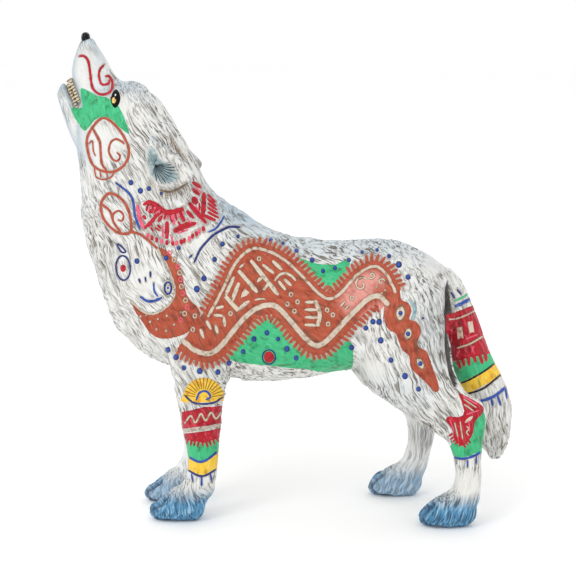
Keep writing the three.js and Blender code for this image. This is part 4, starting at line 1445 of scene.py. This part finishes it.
def limb_colour(shader, colour):
    """Blue paws with pale brush lines, painted shade in the toe clefts, smudged ankles and painted
    light on the inner legs.
    """
    paw = shader.value("paw")
    fine = shader.strands(FINE_HAIR)
    blue = shader.mix(shader.ramp(fine, 0.56, 0.64, 0.0, 0.6), srgb(*PAW_BLUE), srgb(*PAW_LIGHT))
    blue = shader.mix(shader.ramp(fine, 0.46, 0.38, 0.0, 0.85), blue, srgb(*PAW_DARK))
    colour = shader.mix(shader.times(paw, 0.95), colour, blue)
    ankle = shader.times(paw, shader.math("SUBTRACT", 1.0, paw))
    smudge = shader.ramp(shader.strands(HAIR_SIZE), 0.55, 0.38, 0.0, 1.1)
    colour = shader.mix(shader.times(ankle, smudge), colour, srgb(*ANKLE_SMUDGE))
    # Painted light: near-white laid on the shaded inner sides of the lower legs.
    colour = shader.mix(shader.times(shader.value("painted_light"), 0.46), colour, srgb(*PAINTED_LIGHT_LEG))
    # Painted shade: dark blue-grey in the carved toe clefts.
    return shader.mix(shader.times(shader.value("toe"), 0.8), colour, srgb(*TOE_CLEFT_SHADE))


def fill_colour(shader, colour):
    """The painted grounds, each with a slightly ragged edge."""
    ragged = shader.ramp(shader.noise(900.0), 0.3, 0.7, -0.07, 0.07)
    worn = shader.ramp(shader.value("hair"), -0.9, -1.9, 0.0, 0.5)
    for name in ("green", "rust", "yellow", "red"):
        edge = shader.ramp(shader.math("ADD", shader.value(name), ragged), -0.06, 0.1)
        coat = brushed(shader, name, 420.0)
        coat = shader.mix(shader.ramp(shader.strands(HAIR_SIZE), 0.5, 0.66, 0.0, 0.5), coat,
                          srgb(*COLOURS[name][2]))
        if name == "rust":
            blush = shader.ramp(shader.value("blush"), -1.6, 1.6, 0.0, 0.85)
            blush = shader.times(blush, shader.ramp(shader.noise(260.0), 0.32, 0.6, 0.3, 1.0))
            coat = shader.mix(blush, coat, srgb(*BLUSH))
        coat = shader.mix(worn, coat, srgb(*WASH_DEEP_AND_SHADE))
        colour = shader.mix(edge, colour, coat)
    soot = shader.ramp(shader.value("soot"), -0.3, 0.5, 0.0, 0.7)
    soot = shader.times(soot, shader.ramp(shader.value("rust"), 0.1, -0.1))
    colour = shader.mix(soot, colour, srgb(*FRINGE_GAP))
    line = shader.ramp(shader.math("ADD", shader.value("cream"), ragged), -0.08, 0.12)
    rim = shader.ramp(shader.value("cream"), -0.4, -0.1)
    colour = shader.mix(shader.times(rim, 0.35), colour, srgb(*WASH_DEEP_AND_SHADE))
    return shader.mix(line, colour, brushed(shader, "cream", 600.0))


def skin_material(kind):
    """The cast resin's paint; kind picks what only some castings have."""
    shader = Shader(f"resin {kind}", Roughness=0.42, Specular_IOR_Level=0.25)
    colour = skin_colour(shader)
    if kind == "limb":
        colour = limb_colour(shader, colour)
    if kind == "ear":
        patch = shader.ramp(shader.noise(500.0), 0.35, 0.65)
        inner = shader.mix(patch, srgb(*EAR_TEAL), srgb(*EAR_LIGHT))
        colour = shader.mix(shader.ramp(shader.value("ear"), -0.6, 1.2, 0.0, 0.9), colour, inner)
    if kind != "ear":
        colour = fill_colour(shader, colour)
    fine = shader.times(shader.noise(1500.0, 5.0, 0.6), 0.35)
    cut = shader.ramp(shader.strands(FINE_HAIR), 0.34, 0.52)
    cut = shader.times(cut, shader.ramp(shader.value("furry"), 0.05, 0.5, 0.2, 1.0))
    shader.bump(shader.math("ADD", fine, cut), 0.9, 0.3)
    return shader.finish(colour, shader.ramp(shader.noise(320.0), 0.3, 0.7, 0.34, 0.55))


# ---------------------------------------------------------------- pieces

EYE_MIDDLE = (-50.7, 55.7)


def link(name, mesh, material, slot, *nodes):
    piece = new_object(name, mesh)
    mesh.materials.append(material)
    mesh.polygons.foreach_set("use_smooth", [True] * len(mesh.polygons))
    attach(piece, "root")
    if nodes:
        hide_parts(*nodes)


def close_holes(mesh):
    """Caps the cut ends, where one casting is glued to the next."""
    work = bmesh.new()
    work.from_mesh(mesh)
    rim = [e for e in work.edges if e.is_boundary]
    bmesh.ops.holes_fill(work, edges=rim, sides=0)
    bmesh.ops.triangulate(work, faces=[f for f in work.faces if len(f.verts) > 4])
    work.to_mesh(mesh)
    work.free()


def casting(skin, index, material):
    """The part of the skin that stands for one CAD casting."""
    name = CAST_NODES[index]
    quads = skin.quads[skin.owner[skin.quads].min(1) == index]
    used, local = np.unique(quads, return_inverse=True)
    mesh = new_mesh(name + "_skin", skin.co[used] * MM, local.reshape(-1, 4).tolist())
    for value, data in skin.values.items():
        layer = mesh.attributes.new(value, "FLOAT", "POINT")
        layer.data.foreach_set("value", data[used].astype(np.float32))
    close_holes(mesh)
    link(name + "_skin", mesh, material, "resin", name)
    mesh.normals_split_custom_set_from_vertices([tuple(n) for n in skin.normal[used]])


def make_castings(skin):
    materials = {kind: skin_material(kind) for kind in ("body", "limb", "ear")}
    for index, name in enumerate(CAST_NODES):
        kind = "ear" if name.startswith("ear") else "limb" if "leg" in name else "body"
        casting(skin, index, materials[kind])


def paint_piece(stock, paint, name, material, slot, *nodes):
    """Everything laid in one paint; a corner that a face names twice is kept once."""
    points, faces = stock.mesh(paint)
    mesh = new_mesh(name, points * MM, [dict.fromkeys(face) for face in faces])
    link(name, mesh, material, slot, *nodes)


def make_paint(stock):
    for paint in sorted(stock.points):
        paint_piece(stock, paint, f"paint_{paint}", paint_material(paint), "resin")


def make_eyes(skin):
    """Black almond eyes with a gold iris, a pupil, a glint and a lid line."""
    gold = Shader("eye gold", Roughness=0.15, Specular_IOR_Level=0.4)
    tone = gold.ramp(gold.noise(900.0), 0.35, 0.65)
    gold = gold.finish(gold.mix(tone, srgb(238, 208, 124), srgb(196, 150, 70)))
    dark = flecked("eye dark", (3, 3, 5), (12, 10, 9), 800.0,
                   Roughness=0.12, Specular_IOR_Level=0.15)
    painted_light = flecked("eye glint", (250, 250, 252), (228, 232, 238), 900.0, Roughness=0.2)
    u, v = EYE_MIDDLE
    rim = almond((u, v), 5.2, 2.5, -4, 32)
    # The glint is a painted highlight: a small white dome on each eye.
    domes = (
        ("ball", dark, almond((u, v), 4.9, 2.2, -4, 32), 0.6),
        ("iris", gold, ellipse((u - 0.32, v - 0.6), (0.78, 1.15)), 0.72),
        ("pupil", dark, ellipse((u + 0.05, v - 0.15), (0.36, 0.5)), 0.8),
        ("glint", painted_light, ellipse((u, v + 0.8), (0.26, 0.36)), 0.8),
    )
    for side, word in SIDES.items():
        canvas = Canvas(skin, "body", side)
        stock = PaintStock()
        for part, material, outline, rise in domes:
            lay_spot(stock, canvas, part, outline, rise)
            nodes = [f"eye_{word}"] if part == "ball" else []
            paint_piece(stock, part, f"eye_{part}_{word}", material, "eye", *nodes)
        lay_stroke(stock, canvas, "lid", np.vstack([rim, rim[:1]]), 0.32, (1, 1))
        paint_piece(stock, "lid", f"eye_lid_{word}", dark, "eye")


def make_nose():
    """A wet black nose pad with two nostrils, in the CAD nose's box."""
    low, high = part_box("nose")
    centre, half = (low + high) / 2, (high - low) / 2
    work = bmesh.new()
    bmesh.ops.create_uvsphere(work, u_segments=48, v_segments=32, radius=1.0)
    for vert in work.verts:
        x, y, z = vert.co
        vert.co /= max(abs(x), abs(y), abs(z)) ** 0.12
        nostril = math.exp(-(((abs(y) - 0.5) / 0.22) ** 2 + ((z - 0.15) / 0.3) ** 2))
        groove = math.exp(-((y / 0.1) ** 2))
        vert.co *= 1 - (x < 0) * (0.3 * nostril + 0.12 * groove)
        vert.co = Vector([centre[k] + vert.co[k] * half[k] for k in range(3)])
        vert.co.x = low[0] + NOSE_SLIM * (vert.co.x - low[0])
    mesh = bpy.data.meshes.new("nose_pad")
    work.to_mesh(mesh)
    work.free()
    shader = Shader("nose gloss", Roughness=0.14, Specular_IOR_Level=0.2)
    shader.bump(shader.noise(3200.0), 0.2, 0.1)
    colour = shader.mix(shader.noise(700.0), srgb(3, 3, 5), srgb(14, 14, 18))
    link("nose_pad", mesh, shader.finish(colour), "nose", "nose")


def finish_cad_nodes():
    """Materials for the CAD nodes that still show: teeth, wires and dowels."""
    tooth = Shader("tooth ivory", Roughness=0.3, Coat_Weight=0.3, Coat_Roughness=0.2)
    # Painted shade: dark slanting stripes stand in for the gaps between the teeth.
    tooth_gap_shade = tooth.stripes(TOOTH_PITCH)
    tooth.bump(tooth.noise(2500.0), 0.2, 0.1)
    tooth = tooth.finish(tooth.mix(tooth_gap_shade, srgb(206, 190, 158), srgb(104, 80, 56)))
    steel = flecked("wire steel", (150, 150, 152), (110, 108, 106), 900.0,
                    Roughness=0.4, Metallic=1.0)
    wood = flecked("dowel wood", (196, 160, 112), (160, 120, 78), 500.0, Roughness=0.7)
    looks = {"teeth": tooth, "wire": steel, "dowel": wood}
    for name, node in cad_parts.items():
        for word, material in looks.items():
            if word in name:
                node.data.materials.clear()
                node.data.materials.append(material)


# ---------------------------------------------------------------- the studio

FLOOR_REACH = 3.0


def make_camera():
    data = bpy.data.cameras.new("camera")
    data.sensor_width = SENSOR_WIDTH
    data.lens = SENSOR_WIDTH * EYE_DISTANCE / SHEET_WIDTH
    data.clip_start, data.clip_end = 0.01, 20.0
    camera = new_object("camera", data)
    camera.location = Vector(EYE * MM)
    camera.rotation_mode = "QUATERNION"
    camera.rotation_quaternion = Vector(-BACK).to_track_quat("-Z", "Y")
    bpy.context.scene.camera = camera


def make_light(name, place, size, power):
    data = bpy.data.lights.new(name, "AREA")
    data.shape = "DISK"
    data.size = size
    data.energy = power
    lamp = new_object(name, data)
    lamp.location = place
    aim = Vector(TARGET * MM) - Vector(place)
    lamp.rotation_mode = "QUATERNION"
    lamp.rotation_quaternion = aim.to_track_quat("-Z", "Y")


def make_studio():
    world = bpy.data.worlds.new("studio")
    world.use_nodes = True
    sky = world.node_tree.nodes["Background"].inputs
    sky["Color"].default_value = (1, 1, 1, 1)
    sky["Strength"].default_value = 1.0
    bpy.context.scene.world = world
    make_light("key", (-0.45, -0.6, 0.85), 0.45, 2.1)
    make_light("fill", (-0.1, -0.9, 0.12), 0.5, 0.8)
    make_light("rim", (0.1, 0.8, 0.7), 0.6, 1.0)
    corners = [(x * FLOOR_REACH, y * FLOOR_REACH, 0)
               for x, y in ((-1, -1), (1, -1), (1, 1), (-1, 1))]
    floor = new_object("floor", new_mesh("floor", corners, [(0, 1, 2, 3)]))
    shader = Shader("floor paper", Roughness=0.9)
    paper = shader.mix(shader.noise(3.0), (0.985, 0.985, 0.985), (1.0, 1.0, 1.0))
    floor.data.materials.append(shader.finish(paper))
    bpy.context.scene.view_settings.view_transform = "Standard"
    bpy.context.scene.view_settings.look = "None"


def main():
    drawing = make_drawing()
    skin = Skin(drawing)
    make_castings(skin)
    make_paint(lay_paint(skin, drawing))
    make_eyes(skin)
    make_nose()
    finish_cad_nodes()
    make_camera()
    make_studio()


main()
